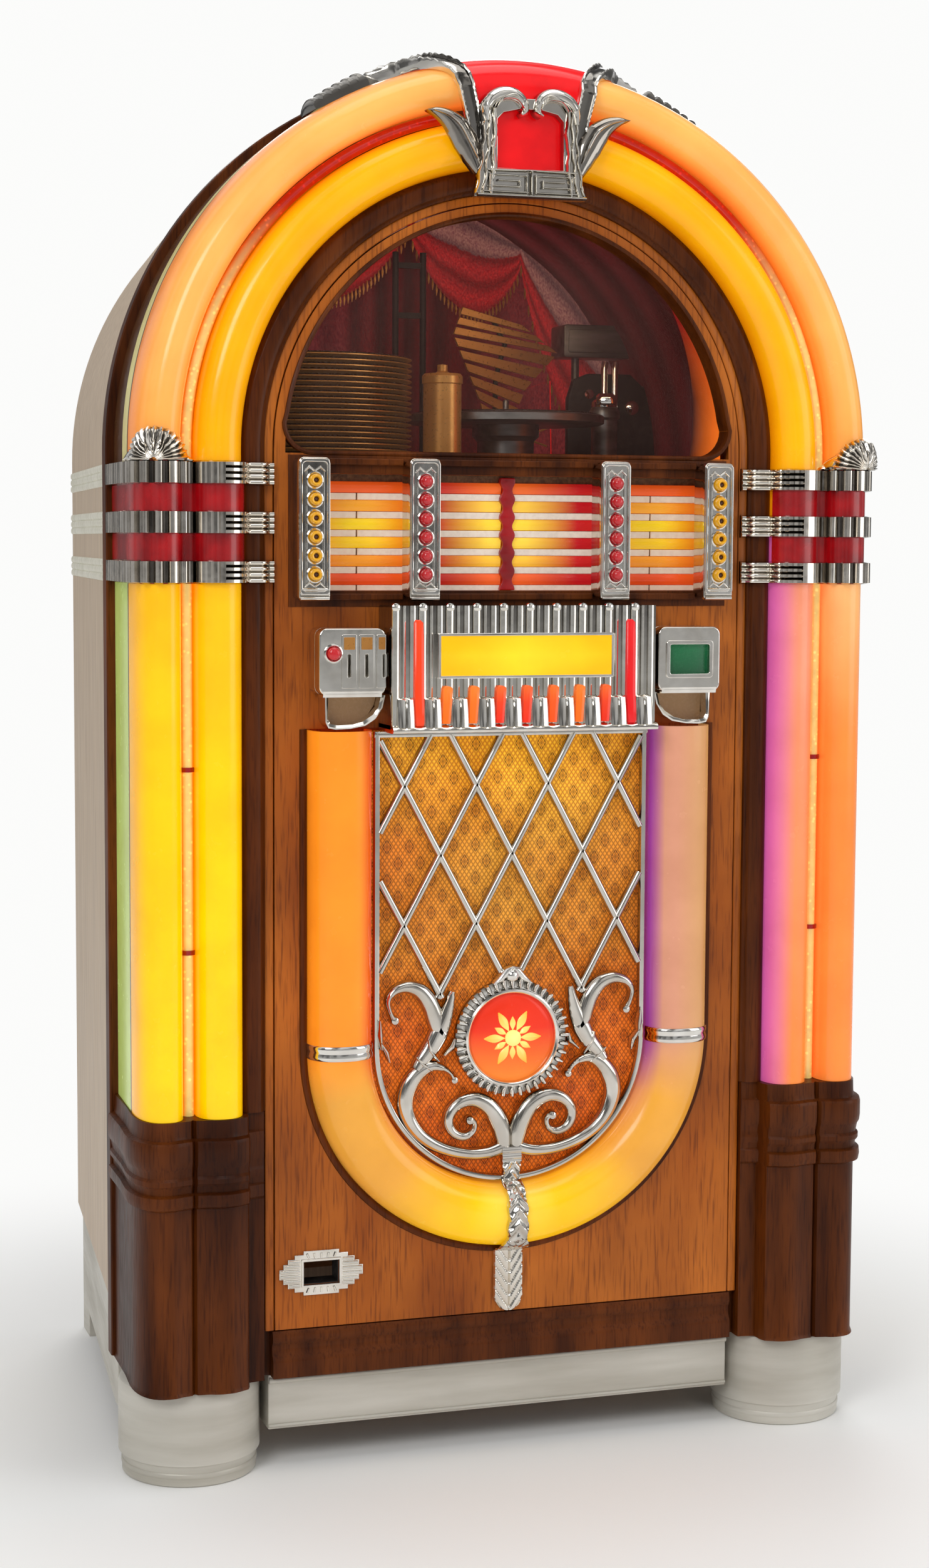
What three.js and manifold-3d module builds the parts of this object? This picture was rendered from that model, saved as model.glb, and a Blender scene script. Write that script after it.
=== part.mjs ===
// Arched coin-operated record player with lit plastic pilasters, a domed window and a pressed grille.
// Millimetres, +X to the viewer's right, +Y to the back, +Z up, standing on z = 0.
import * as THREE from 'three';
import { mergeVertices } from 'three/addons/utils/BufferGeometryUtils.js';
import Module from 'manifold-3d';

const wasm = await Module();
wasm.setup();

// Clearances and cutter overrun
const seatGap = 0.3;
const wrapGap = 0.6;
const doorGap = 1.5;
const cutOverrun = 5;
const weldTolerance = 1e-4;

// Heights
const footHeight = 105;
const columnBottomZ = 401;
const archCentreZ = 1106;
const trimTopZ = 1093;
const bandPitch = 51.3;
const bandHeight = 25;
const bandCount = 3;
const doorBottomZ = 158;

// Arch radii, which are also the half widths of the straight sides below the arch centre
const doorRadius = 265;
const stripWidth = 11;
const stripRadius = doorRadius + stripWidth;
const mouldingWidth = 26.3;
const innerLobeWidth = 50.7;
const innerLobeStart = stripRadius + mouldingWidth;
const innerLobeEnd = innerLobeStart + innerLobeWidth;
const grooveWidth = 14;
const outerLobeWidth = 48;
const outerLobeStart = innerLobeEnd + grooveWidth;
const outerLobeEnd = outerLobeStart + outerLobeWidth;
const frameBandProud = 6;
const frameBandRadius = outerLobeEnd + frameBandProud;
const shellStep = 2;
const shellTaper = 37;
const shellFrontRadius = frameBandRadius - shellStep;
const shellRearRadius = shellFrontRadius - shellTaper;
const archSteps = 20;

// Depths from the door's front face
const lobeSeatY = 14;
const lobeFrontY = -33;
const innerLobeFrontY = -32;
const frameBandDepth = 21;
const shellDepth = 440;
const frameBandFrontY = 129;
const shellFrontY = frameBandFrontY + frameBandDepth;
const shellRearY = shellFrontY + shellDepth;

// Wooden frame
const frameDepth = 34;
const mouldingRise = 9;
const mouldingEaveWidth = 6;
const carrierThickness = 14;
const carrierInset = 16.5;
const carrierRadius = outerLobeEnd - carrierInset;
const carrierBendY = 70;
const bottomRailProud = 4;
const pivotWasherRadius = 5;
const pivotWasherSeat = 1;

// Plastic shells
const plasticThickness = 4;
const lobeRoundness = 2.4;
const lobeSteps = 8;
const outerLobeCrestIn = 27;
const outerLobeCrestRadius = outerLobeEnd - outerLobeCrestIn;
const outerLobeWidestY = 22;
const outerLobeLeanIn = 3.5;
const grooveFloorY = 5;
const tubeRadius = 6.2;
const tubeSides = 8;
const tubeTopAngle = 103;

// Shoulder trim
const sleeveThickness = 2.5;
const bandThickness = 9;
const fingerTipGap = 2;
const fingerTipRadius = doorRadius + fingerTipGap;
const trimEndGap = 4;
const trimEndY = frameBandFrontY - trimEndGap;
const trimLiftY = 11;
const scallopRadius = 27;
const scallopThickness = 9;
const scallopSteps = 9;

// Pilaster base
const baseInnerRadius = stripRadius + doorGap;
const baseProud = 7;
const baseSideProud = 12;
const baseSideRadius = outerLobeEnd + baseSideProud;
const ledgeTops = [322, 336, 352, 380];
const ledgeSteps = [0, 7, 3, 6, 0];

// Feet and plinth
const footRadius = 77;
const footStep = 4;
const footStepHeight = 24;
const footX = baseSideRadius - footRadius;
const footY = 50;
const footSides = 24;
const kickBottomZ = 44;
const kickFrontY = 12;
const kickOverlap = 5;
const kickHalfWidth = doorRadius + kickOverlap;
const plinthWall = 12;
const plinthJogDepth = 14;
const plinthJogY = shellFrontY - plinthJogDepth;
const skirtTopZ = 165;
const skirtInset = 6;
const rearLegSize = 44;

// Cabinet
const shellWall = 16;
const floorThickness = 16;
const rearRimWidth = 46;
const rearDoorThickness = 12;
const rearDoorBottomZ = 215;
const ventCount = 6;
const ventHeight = 8;
const ventPitch = 26;
const ventHalfWidth = 110;
const ventFirstZ = 300;

// Front door
const doorThickness = 24;
const windowBorder = 12;
const windowRadius = doorRadius - windowBorder;
const windowBottomZ = 1103;
const glassOverlap = 8;
const glassThickness = 5;
const titleBorder = 25;
const titleHalfWidth = doorRadius - titleBorder;
const titleBottomZ = 958;
const titleTopZ = 1082;
const titleOverlap = 7;
const titleThickness = 5;
const recessBorder = 33;
const recessRadius = doorRadius - recessBorder;
const recessDepth = 10;
const recessTopZ = 811;
const grilleCentreZ = 464;
const speakerHoleBorder = 86;
const speakerHoleRadius = recessRadius - speakerHoleBorder;
const returnCentreX = -214;
const returnCentreZ = 219;
const returnHalfWidth = 20;
const returnHalfHeight = 13;

// Selector
const barHalfWidth = 17;
const barTopZ = 1098;
const barBottomZ = 948;
const barProud = 34;
const outerBarInset = 36;
const innerBarInset = 157;
const outerBarX = doorRadius - outerBarInset;
const innerBarX = doorRadius - innerBarInset;
const railHeight = 7;
const railProud = 8;
const buttonTopZ = 1074;
const buttonPitch = 19.7;
const buttonRows = 6;
const buttonRadius = 6.4;
const buttonProud = 9;
const buttonLength = 17;
const buttonBoreClearance = 0.6;
const buttonBoreDepth = 14;
const buttonSides = 8;

// Grille header, coin entry and display box
const headerHalfWidth = 150;
const headerBottomZ = 808;
const headerTopZ = 943;
const headerProud = 50;
const headerLipProud = 58;
const headerLipHeight = 22;
const fluteCount = 22;
const fluteDepth = 4;
const sideBoxInnerX = 154;
const sideBoxOuterX = 228;
const sideBoxBottomZ = 848;
const sideBoxTopZ = 920;
const sideBoxProud = 44;
const sideBoxRound = 8;
const cupRadius = 36;
const cupTipRadius = 18;
const cupHeight = 34;
const cupSides = 16;
const slotCount = 3;
const slotWidth = 3;
const slotHeight = 24;
const slotDepth = 20;
const slotPitch = 19;
const slotFirstX = -195;
const slotZ = 868;
const rejectX = -212;
const rejectZ = 893;
const rejectRadius = 7;
const rejectProud = 7;
const rejectLength = 20;
const rejectTravelRoom = 7;
const displayHalfWidth = 24;
const displayHalfHeight = 17;
const displayDepth = 6;

// U-shaped lower plastic and grille
const recessClearance = 3;
const uTubeWidth = 69;
const uTubeOuter = recessRadius - recessClearance;
const uTubeInner = uTubeOuter - uTubeWidth;
const uTubeFrontY = -34;
const uSteps = 16;
const clothRadius = uTubeInner - recessClearance;
const clothThickness = 4;
const rimWidth = 8;
const grilleFrontY = -9;
const grilleThickness = 7;
const latticeBarWidth = 5;
const latticeBars = 4;
const shortestBarShare = 0.1;
const latticeBottomZ = 575;
const bezelCentreZ = 478;
const bezelRadius = 63;
const bezelTubeRadius = 11;
const dialThickness = 5;
const scrollRadius = 46;
const scrollBar = 8;
const scrollX = 98;
const scrollZ = 520;
const curlRadius = 26;
const curlX = 48;
const curlZ = 388;
const scrollSteps = 8;
const scrollAngles = [-100, 120];
const curlAngles = [-150, 150];
const tailHalfWidth = 17;
const tailTopZ = 340;
const tailBottomZ = 168;
const tailFrontY = -46;
const tailLeafY = -10;
const tailBridge = 16;

// Crown
const crownWindowHalfWidth = 38;
const crownWindowBottomZ = 1401;
const crownWindowTopZ = 1463;
const crownFrontY = -60;
const crownBackY = -39.5;
const crownTongueMargin = 5;
const crownPlateHalfWidth = 62;
const crownPlateBottomZ = 1371;
const crownPlateTopZ = 1394;
const crownFrameWidth = 11;
const crownTopZ = 1490;
const crownWingTipX = 104;
const crownWingTipZ = 1478;
const crownSaddleRise = 5;
const crownWingRise = 12;
const crownStartInset = 7;
const crownStartRadius = outerLobeStart + crownStartInset;
const crownAngles = [7.8, 8.6, 10, 13, 17, 21];
const crownWingAngles = [3, 3.6, 4.5, 5.5, 6, 6.5];
const crownAngleGap = 0.35;
const crownClearAngle = 12;
const crownGap = 0.8;
const crownSpanSteps = 6;

// Speaker, amplifier, cash box and record mechanism
const speakerRimRadius = 152;
const speakerRimThickness = 6;
const speakerConeDepth = 62;
const speakerMagnetRadius = 62;
const speakerMagnetDepth = 46;
const speakerZ = 615;
const speakerSides = 20;
const shelfZ = 930;
const shelfThickness = 15;
const shelfFrontY = 165;
const shelfRearY = 560;
const stackX = -158;
const stackY = 300;
const stackRadius = 127;
const stackBottomZ = 975;
const trayCount = 24;
const trayPitch = 10;
const trayLip = 8;
const stackPostRadius = 14;
const stackSides = 10;
const platterX = 92;
const platterY = 300;
const platterRadius = 118;
const platterZ = 1150;
const platterThickness = 14;
const spindleRadius = 3.6;
const spindleHeight = 16;
const columnRadius = 34;
const armPivotX = 235;
const armPivotY = 345;
const armPivotRadius = 16;
const armLength = 158;
const armAngle = 250;
const armWidth = 14;
const armHeight = 9;
const armHeadLength = 34;
const armHeadWidth = 24;
const armHeadDrop = 6;
const armLift = 12;
const amplifierSize = [230, 170, 80];
const amplifierX = 110;
const amplifierY = 420;
const valveCount = 4;
const valveRadius = 17;
const valveHeight = 70;
const cashBoxSize = [150, 170, 90];
const cashBoxX = -200;
const cashBoxY = 290;
const cashBoxWall = 3;

const degree = Math.PI / 180;

// Finishes
const finishes = {
  walnut: [0x4a2410, 0.45, 0],
  lightWood: [0xa66032, 0.4, 0],
  taupe: [0xbeae9b, 0.6, 0],
  aluminium: [0xb9b1a3, 0.45, 0.8],
  chrome: [0xc8c8c8, 0.15, 1],
  peach: [0xf6b464, 0.3, 0],
  amber: [0xfab41e, 0.3, 0],
  yellow: [0xffdc00, 0.3, 0],
  magenta: [0xe08a9a, 0.3, 0],
  red: [0xc81923, 0.25, 0],
  clear: [0xd9a05a, 0.1, 0],
  glass: [0x6a3a30, 0.05, 0],
  gold: [0xc08a30, 0.7, 0.2],
  black: [0x1c1a18, 0.5, 0],
  steel: [0x8a8782, 0.4, 0.9],
  board: [0x6b4a2c, 0.8, 0],
};

// Solids
function toSolid(geometry) {
  const bare = geometry.clone();
  for (const name of Object.keys(bare.attributes)) {
    if (name !== 'position') bare.deleteAttribute(name);
  }
  const welded = mergeVertices(bare, weldTolerance);
  const vertProperties = new Float32Array(welded.attributes.position.array);
  const triVerts = new Uint32Array(welded.index.array);
  return new wasm.Manifold(new wasm.Mesh({ numProp: 3, vertProperties, triVerts }));
}

function fromSolid(solid) {
  const mesh = solid.getMesh();
  const geometry = new THREE.BufferGeometry();
  geometry.setAttribute('position', new THREE.BufferAttribute(new Float32Array(mesh.vertProperties), 3));
  geometry.setIndex(new THREE.BufferAttribute(new Uint32Array(mesh.triVerts), 1));
  geometry.computeVertexNormals();
  return geometry;
}

function join(...geometries) {
  let solid = toSolid(geometries[0]);
  for (const geometry of geometries.slice(1)) solid = solid.add(toSolid(geometry));
  return fromSolid(solid);
}

function cut(geometry, ...cutters) {
  let solid = toSolid(geometry);
  for (const cutter of cutters) solid = solid.subtract(toSolid(cutter));
  return fromSolid(solid);
}

function shapeOf(outline, holes = []) {
  const shape = new THREE.Shape(outline.map(([a, b]) => new THREE.Vector2(a, b)));
  shape.holes = holes.map((hole) => new THREE.Path(hole.map(([a, b]) => new THREE.Vector2(a, b))));
  return shape;
}

// A plate whose outline lies in x and z, from one depth to another
function plate(outline, frontY, backY, holes) {
  const settings = { depth: backY - frontY, bevelEnabled: false, curveSegments: 1 };
  const geometry = new THREE.ExtrudeGeometry(shapeOf(outline, holes), settings);
  return geometry.rotateX(Math.PI / 2).translate(0, backY, 0);
}

// A slab whose outline lies in x and y, from one height to another
function slab(outline, bottomZ, topZ, holes) {
  const settings = { depth: topZ - bottomZ, bevelEnabled: false, curveSegments: 1 };
  return new THREE.ExtrudeGeometry(shapeOf(outline, holes), settings).translate(0, 0, bottomZ);
}

function block(x0, x1, y0, y1, z0, z1) {
  const geometry = new THREE.BoxGeometry(x1 - x0, y1 - y0, z1 - z0);
  return geometry.translate((x0 + x1) / 2, (y0 + y1) / 2, (z0 + z1) / 2);
}

// A turned piece about a vertical axis; profile points are radius and height
function turned(profile, sides, x, y) {
  const geometry = new THREE.LatheGeometry(profile.map(([r, z]) => new THREE.Vector2(r, z)), sides);
  return geometry.rotateX(Math.PI / 2).translate(x, y, 0);
}

// A turned piece about an axis along y; profile points are radius and y
function turnedAlongY(profile, sides, x, z) {
  const geometry = new THREE.LatheGeometry(profile.map(([r, y]) => new THREE.Vector2(r, y)), sides);
  return geometry.translate(x, 0, z);
}

// Rings of points joined into a closed skin, capped at both ends
function skinOfRings(rings, capFaces) {
  const positions = [];
  const index = [];
  const size = rings[0].length;
  for (const ring of rings) for (const point of ring) positions.push(...point);
  for (let ring = 0; ring + 1 < rings.length; ring += 1) {
    for (let side = 0; side < size; side += 1) {
      const next = (side + 1) % size;
      const a = ring * size + side;
      const b = ring * size + next;
      index.push(a, b, a + size, b, b + size, a + size);
    }
  }
  const last = (rings.length - 1) * size;
  for (const [a, b, c] of capFaces) {
    index.push(c, b, a);
    index.push(last + a, last + b, last + c);
  }
  const geometry = new THREE.BufferGeometry();
  geometry.setAttribute('position', new THREE.Float32BufferAttribute(positions, 3));
  geometry.setIndex(facesOutward(positions, index));
  return geometry;
}

function facesOutward(positions, index) {
  let volume = 0;
  const point = (i) => new THREE.Vector3(positions[3 * i], positions[3 * i + 1], positions[3 * i + 2]);
  for (let i = 0; i < index.length; i += 3) {
    volume += point(index[i]).dot(point(index[i + 1]).cross(point(index[i + 2])));
  }
  return volume > 0 ? index : index.slice().reverse();
}

// The same closed profile, anticlockwise
function anticlockwise(profile) {
  const area = THREE.ShapeUtils.area(profile.map(([r, y]) => new THREE.Vector2(r, y)));
  return area > 0 ? profile : profile.slice().reverse();
}

function capsOf(profile) {
  return THREE.ShapeUtils.triangulateShape(profile.map(([r, y]) => new THREE.Vector2(r, y)), []);
}

// A profile of radius and y carried along stations, each a centre in x and z and a direction
function sweep(profile, stations) {
  const loop = anticlockwise(profile);
  const rings = stations.map(({ x, z, dx, dz }) => loop.map(([r, y]) => [x + r * dx, y, z + r * dz]));
  return skinOfRings(rings, capsOf(loop));
}

function arcStations(centreZ, fromAngle, toAngle, steps) {
  const stations = [];
  for (let step = 0; step <= steps; step += 1) {
    const angle = (fromAngle + ((toAngle - fromAngle) * step) / steps) * degree;
    stations.push({ x: 0, z: centreZ, dx: Math.cos(angle), dz: Math.sin(angle) });
  }
  return stations;
}

// Left column, arch and right column, down to one height
function archStations(bottomZ) {
  const left = { x: 0, z: bottomZ, dx: -1, dz: 0 };
  const right = { x: 0, z: bottomZ, dx: 1, dz: 0 };
  return [left, ...arcStations(archCentreZ, 180, 0, archSteps), right];
}

function columnStations(side, bottomZ, topZ) {
  return [{ x: 0, z: bottomZ, dx: side, dz: 0 }, { x: 0, z: topZ, dx: side, dz: 0 }];
}

// Left leg, half circle and right leg of the lower U, up to one height
function uStations(topZ) {
  const left = { x: 0, z: topZ, dx: -1, dz: 0 };
  const right = { x: 0, z: topZ, dx: 1, dz: 0 };
  return [left, ...arcStations(grilleCentreZ, 180, 360, uSteps), right];
}

// Outline in x and z of an arch-topped panel, anticlockwise from its lower left corner
function archOutline(radius, bottomZ) {
  const points = [[-radius, bottomZ], [radius, bottomZ]];
  for (let step = 0; step <= archSteps; step += 1) {
    const angle = (Math.PI * step) / archSteps;
    points.push([radius * Math.cos(angle), archCentreZ + radius * Math.sin(angle)]);
  }
  return points;
}

// Outline in x and z of a U-bottomed panel
function uOutline(radius, topZ) {
  const points = [[radius, topZ], [-radius, topZ]];
  for (let step = 0; step <= uSteps; step += 1) {
    const angle = Math.PI + (Math.PI * step) / uSteps;
    points.push([radius * Math.cos(angle), grilleCentreZ + radius * Math.sin(angle)]);
  }
  return points;
}

// Lobed plastics: a quarter of a rounded oval, from a side wall to the crest or back
function ovalQuarter(crestRadius, halfWidth, wallY, rise, fromShare, toShare) {
  const points = [];
  for (let step = 0; step <= lobeSteps / 2; step += 1) {
    const share = fromShare + ((toShare - fromShare) * step) / (lobeSteps / 2);
    const angle = (share * Math.PI) / 2;
    const across = Math.sign(Math.cos(angle)) * Math.abs(Math.cos(angle)) ** (2 / lobeRoundness);
    const up = Math.abs(Math.sin(angle)) ** (2 / lobeRoundness);
    points.push([crestRadius - halfWidth * across, wallY - rise * up]);
  }
  return points;
}

// The inner lobe's front, moved outward by a distance
function innerLobeFront(outward) {
  const crest = (innerLobeStart + innerLobeEnd) / 2;
  const halfWidth = (innerLobeEnd - innerLobeStart) / 2 + outward;
  const rise = -innerLobeFrontY + outward;
  return [
    ...ovalQuarter(crest, halfWidth, 0, rise, 0, 1),
    ...ovalQuarter(crest, halfWidth, 0, rise, 1, 2).slice(1),
  ];
}

// The outer lobe's front and side, moved outward by a distance
function outerLobeFront(outward) {
  const grooveHalf = outerLobeCrestRadius - outerLobeStart + outward;
  const sideHalf = outerLobeEnd - outerLobeCrestRadius + outward;
  const rise = outward - lobeFrontY;
  return [
    ...ovalQuarter(outerLobeCrestRadius, grooveHalf, 0, rise, 0, 1),
    ...ovalQuarter(outerLobeCrestRadius, sideHalf, outerLobeWidestY, rise + outerLobeWidestY, 1, 2).slice(1),
  ];
}

function outerLobeSide(outward, y) {
  return [outerLobeEnd - outerLobeLeanIn + outward, y];
}

function innerLobeShell() {
  const backY = lobeSeatY - seatGap;
  return [
    [innerLobeStart, backY],
    ...innerLobeFront(0),
    [innerLobeEnd, backY],
    [innerLobeEnd - plasticThickness, backY],
    ...innerLobeFront(-plasticThickness).reverse(),
    [innerLobeStart + plasticThickness, backY],
  ];
}

function outerLobeShell() {
  const backY = lobeSeatY - seatGap;
  const sideY = frameBandFrontY - seatGap;
  return [
    [outerLobeStart, backY],
    ...outerLobeFront(0),
    outerLobeSide(0, sideY),
    outerLobeSide(-plasticThickness, sideY),
    ...outerLobeFront(-plasticThickness).reverse(),
    [outerLobeStart + plasticThickness, backY],
  ];
}

// Both lobes of a column in one moulding, joined by the groove floor
function pilasterProfile() {
  const backY = lobeSeatY - seatGap;
  const sideY = frameBandFrontY - seatGap;
  return [
    [innerLobeStart, backY],
    ...innerLobeFront(0),
    [innerLobeEnd, grooveFloorY],
    [outerLobeStart, grooveFloorY],
    ...outerLobeFront(0),
    outerLobeSide(0, sideY),
    outerLobeSide(-plasticThickness, sideY),
    ...outerLobeFront(-plasticThickness).reverse(),
    [outerLobeStart + plasticThickness, backY],
    [innerLobeEnd - plasticThickness, backY],
    ...innerLobeFront(-plasticThickness).reverse(),
    [innerLobeStart + plasticThickness, backY],
  ];
}

// Washer under a door's hinged corner, between the rail's top and the door's bottom
function pivotWasher(x, y, railTopZ, doorUnderZ) {
  const lowZ = railTopZ - pivotWasherSeat;
  const highZ = doorUnderZ - seatGap;
  const profile = [[0, lowZ], [pivotWasherRadius, lowZ], [pivotWasherRadius, highZ], [0, highZ]];
  return turned(profile, buttonSides, x, y);
}

// Wooden frame
function mouldingProfile() {
  return [
    [doorRadius + doorGap, 0],
    [stripRadius, 0],
    [stripRadius + mouldingEaveWidth, -mouldingRise],
    [innerLobeStart - mouldingEaveWidth, -mouldingRise],
    [innerLobeStart - wrapGap, -mouldingRise / 2],
    [innerLobeStart - wrapGap, lobeSeatY],
  ];
}

function carrierProfile() {
  const bendRadius = (innerLobeEnd + outerLobeStart) / 2;
  return [
    [bendRadius, lobeSeatY],
    [carrierRadius, carrierBendY],
    [carrierRadius, frameBandFrontY],
    [frameBandRadius, frameBandFrontY],
    [frameBandRadius, shellFrontY - seatGap],
    [carrierRadius - carrierThickness, shellFrontY - seatGap],
    [carrierRadius - carrierThickness, carrierBendY + carrierThickness],
    [bendRadius, frameDepth],
    [doorRadius + doorGap, frameDepth],
  ];
}

function frontFrame() {
  const upper = sweep([...mouldingProfile(), ...carrierProfile()], archStations(columnBottomZ));
  const plain = [[doorRadius + doorGap, 0], [stripRadius, 0], [stripRadius, lobeSeatY], ...carrierProfile()];
  const railTop = doorBottomZ - doorGap;
  const railHalf = doorRadius + doorGap * 2;
  const legs = [-1, 1].map((side) => sweep(plain, columnStations(side, footHeight, columnBottomZ + seatGap)));
  const rail = block(-railHalf, railHalf, -bottomRailProud, frameDepth, footHeight, railTop);
  const washer = pivotWasher(pivotWasherRadius - doorRadius, doorThickness / 2, railTop, doorBottomZ);
  return join(upper, ...legs, rail, washer);
}

// Pilaster bases
function baseProfile(outward) {
  const backY = lobeSeatY - seatGap;
  const sideRadius = baseSideRadius - baseProud + outward;
  const front = [...innerLobeFront(baseProud + outward), ...outerLobeFront(baseProud + outward)];
  const kept = front.filter(([r, y]) => y < -mouldingRise || r > outerLobeCrestRadius);
  return [
    [baseInnerRadius, backY],
    [baseInnerRadius, 0],
    ...kept,
    [sideRadius, frameBandFrontY - seatGap],
    [carrierRadius + seatGap, frameBandFrontY - seatGap],
    [carrierRadius + seatGap, carrierBendY - seatGap],
    [(innerLobeEnd + outerLobeStart) / 2 + seatGap, backY],
  ];
}

function pilasterBase(side) {
  const levels = [footHeight, ...ledgeTops, columnBottomZ - seatGap];
  const steps = ledgeSteps.map((step, level) => {
    const bottomZ = levels[level];
    const topZ = levels[level + 1];
    return sweep(baseProfile(step - baseProud / 2), columnStations(side, bottomZ, topZ));
  });
  return join(...steps);
}

// Shoulder trim: three bands over a thin sleeve, with a scallop on top
function trimLine(outward) {
  const moulding = [
    [fingerTipRadius, -outward],
    [stripRadius, -outward],
    [stripRadius + mouldingEaveWidth, -mouldingRise - outward],
    [innerLobeStart - mouldingEaveWidth, -mouldingRise - outward],
  ];
  const lobes = [...innerLobeFront(outward), ...outerLobeFront(outward)];
  const kept = lobes.filter(([r, y]) => y < -trimLiftY - outward || r > outerLobeCrestRadius);
  return [...moulding, ...kept, outerLobeSide(outward, trimEndY)];
}

function trimProfile(thickness) {
  return [...trimLine(wrapGap), ...trimLine(wrapGap + thickness).reverse()];
}

function scallop(side) {
  const outline = [];
  for (let step = 0; step <= scallopSteps; step += 1) {
    const angle = (Math.PI * step) / scallopSteps;
    const x = side * outerLobeCrestRadius + scallopRadius * Math.cos(angle);
    outline.push([x, trimTopZ - seatGap + scallopRadius * Math.sin(angle)]);
  }
  const backY = lobeFrontY - wrapGap;
  return plate(outline, backY - scallopThickness, backY);
}

function shoulderTrim(side) {
  const bottomZ = trimTopZ - (bandCount - 1) * bandPitch - bandHeight;
  const pieces = [sweep(trimProfile(sleeveThickness), columnStations(side, bottomZ, trimTopZ))];
  for (let band = 0; band < bandCount; band += 1) {
    const top = trimTopZ - band * bandPitch;
    pieces.push(sweep(trimProfile(bandThickness), columnStations(side, top - bandHeight, top)));
  }
  return join(...pieces, scallop(side));
}

// Bubble tube, up its column and round the arch towards the crown
function bubbleTube(side) {
  const radius = (innerLobeEnd + outerLobeStart) / 2;
  const centreY = grooveFloorY - wrapGap - tubeRadius;
  const profile = [];
  for (let step = 0; step < tubeSides; step += 1) {
    const angle = (2 * Math.PI * (step + 0.5)) / tubeSides;
    profile.push([radius + tubeRadius * Math.cos(angle), centreY + tubeRadius * Math.sin(angle)]);
  }
  const from = side < 0 ? 180 : 0;
  const to = side < 0 ? tubeTopAngle : 180 - tubeTopAngle;
  const bottom = { x: 0, z: columnBottomZ, dx: side, dz: 0 };
  return sweep(profile, [bottom, ...arcStations(archCentreZ, from, to, archSteps / 2)]);
}

// Crown: a keystone with a window, two wings over the outer lobe and a red saddle between them
function saddleLine(outward) {
  const kept = outerLobeFront(outward).filter(([r]) => r >= crownStartRadius);
  return [...kept, outerLobeSide(outward, trimEndY)];
}

function angleAt(angles, share) {
  const place = share * (angles.length - 1);
  const low = Math.min(Math.floor(place), angles.length - 2);
  return angles[low] + (angles[low + 1] - angles[low]) * (place - low);
}

// A patch laid over the outer lobe, between two angles that change along it
function lobePatch(fromAngle, toAngle, rise) {
  const low = saddleLine(-plasticThickness);
  const high = saddleLine(crownGap + rise);
  const shareAt = (y) => Math.max(0, (y - lobeFrontY) / (trimEndY - lobeFrontY));
  const loop = anticlockwise([...low, ...high.reverse()]).map(([r, y]) => [r, y, shareAt(y)]);
  const rings = [];
  for (let step = 0; step <= crownSpanSteps; step += 1) {
    rings.push(loop.map(([r, y, share]) => {
      const span = toAngle(share) - fromAngle(share);
      const turn = (90 + fromAngle(share) + (span * step) / crownSpanSteps) * degree;
      return [r * Math.cos(turn), y, archCentreZ + r * Math.sin(turn)];
    }));
  }
  return skinOfRings(rings, capsOf(loop));
}

// The outer lobe of the arch, filled and with the crown's clearance
function lobeCore() {
  const sideY = trimEndY + cutOverrun;
  const crest = [outerLobeCrestRadius, sideY];
  const profile = [...outerLobeFront(crownGap), outerLobeSide(crownGap, sideY), crest];
  return sweep(profile, arcStations(archCentreZ, 180, 0, archSteps));
}

function wingEdge(share) {
  return angleAt(crownAngles, share);
}

function wingTip(share) {
  return wingEdge(share) + angleAt(crownWingAngles, share);
}

function crownPlastic() {
  const saddle = lobePatch((share) => -wingTip(share), wingTip, crownSaddleRise);
  const near = (share) => wingEdge(share) - crownAngleGap;
  const far = (share) => wingTip(share) + crownClearAngle;
  const left = lobePatch(near, far, crownWingRise);
  const right = lobePatch((share) => -far(share), (share) => -near(share), crownWingRise);
  const halfWidth = crownWindowHalfWidth + crownTongueMargin;
  const bottomZ = crownWindowBottomZ - crownTongueMargin;
  const topZ = archCentreZ + crownStartRadius + crownTongueMargin * 2;
  const backY = lobeFrontY - crownGap;
  const tongue = block(-halfWidth, halfWidth, backY - crownSaddleRise, backY, bottomZ, topZ);
  const frameHalf = crownWindowHalfWidth + crownFrameWidth;
  const trims = [-1, 1].map((side) => {
    const reach = [side * frameHalf, side * crownWingTipX];
    const trimTop = crownTopZ - crownTongueMargin;
    return block(Math.min(...reach), Math.max(...reach), crownFrontY, lobeSeatY, bottomZ, trimTop);
  });
  return cut(join(saddle, tongue), left, right, lobeCore(), ...trims);
}

function crownKeystone() {
  const frameHalf = crownWindowHalfWidth + crownFrameWidth;
  const half = [
    [crownPlateHalfWidth, crownPlateBottomZ],
    [crownPlateHalfWidth, crownPlateTopZ],
    [frameHalf, crownWindowBottomZ],
    [frameHalf, (crownWindowBottomZ + crownWindowTopZ) / 2],
    [crownWingTipX, crownWingTipZ],
    [crownPlateHalfWidth, crownTopZ],
  ];
  const outline = [...half, ...half.map(([x, z]) => [-x, z]).reverse()];
  const window = block(
    -crownWindowHalfWidth, crownWindowHalfWidth,
    crownFrontY - cutOverrun, crownBackY + cutOverrun,
    crownWindowBottomZ, crownWindowTopZ,
  );
  return cut(plate(outline, crownFrontY, crownBackY), window);
}

function crownCasting() {
  const left = lobePatch(wingEdge, wingTip, crownWingRise);
  const right = lobePatch((share) => -wingTip(share), (share) => -wingEdge(share), crownWingRise);
  return cut(join(crownKeystone(), left, right), lobeCore());
}

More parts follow.
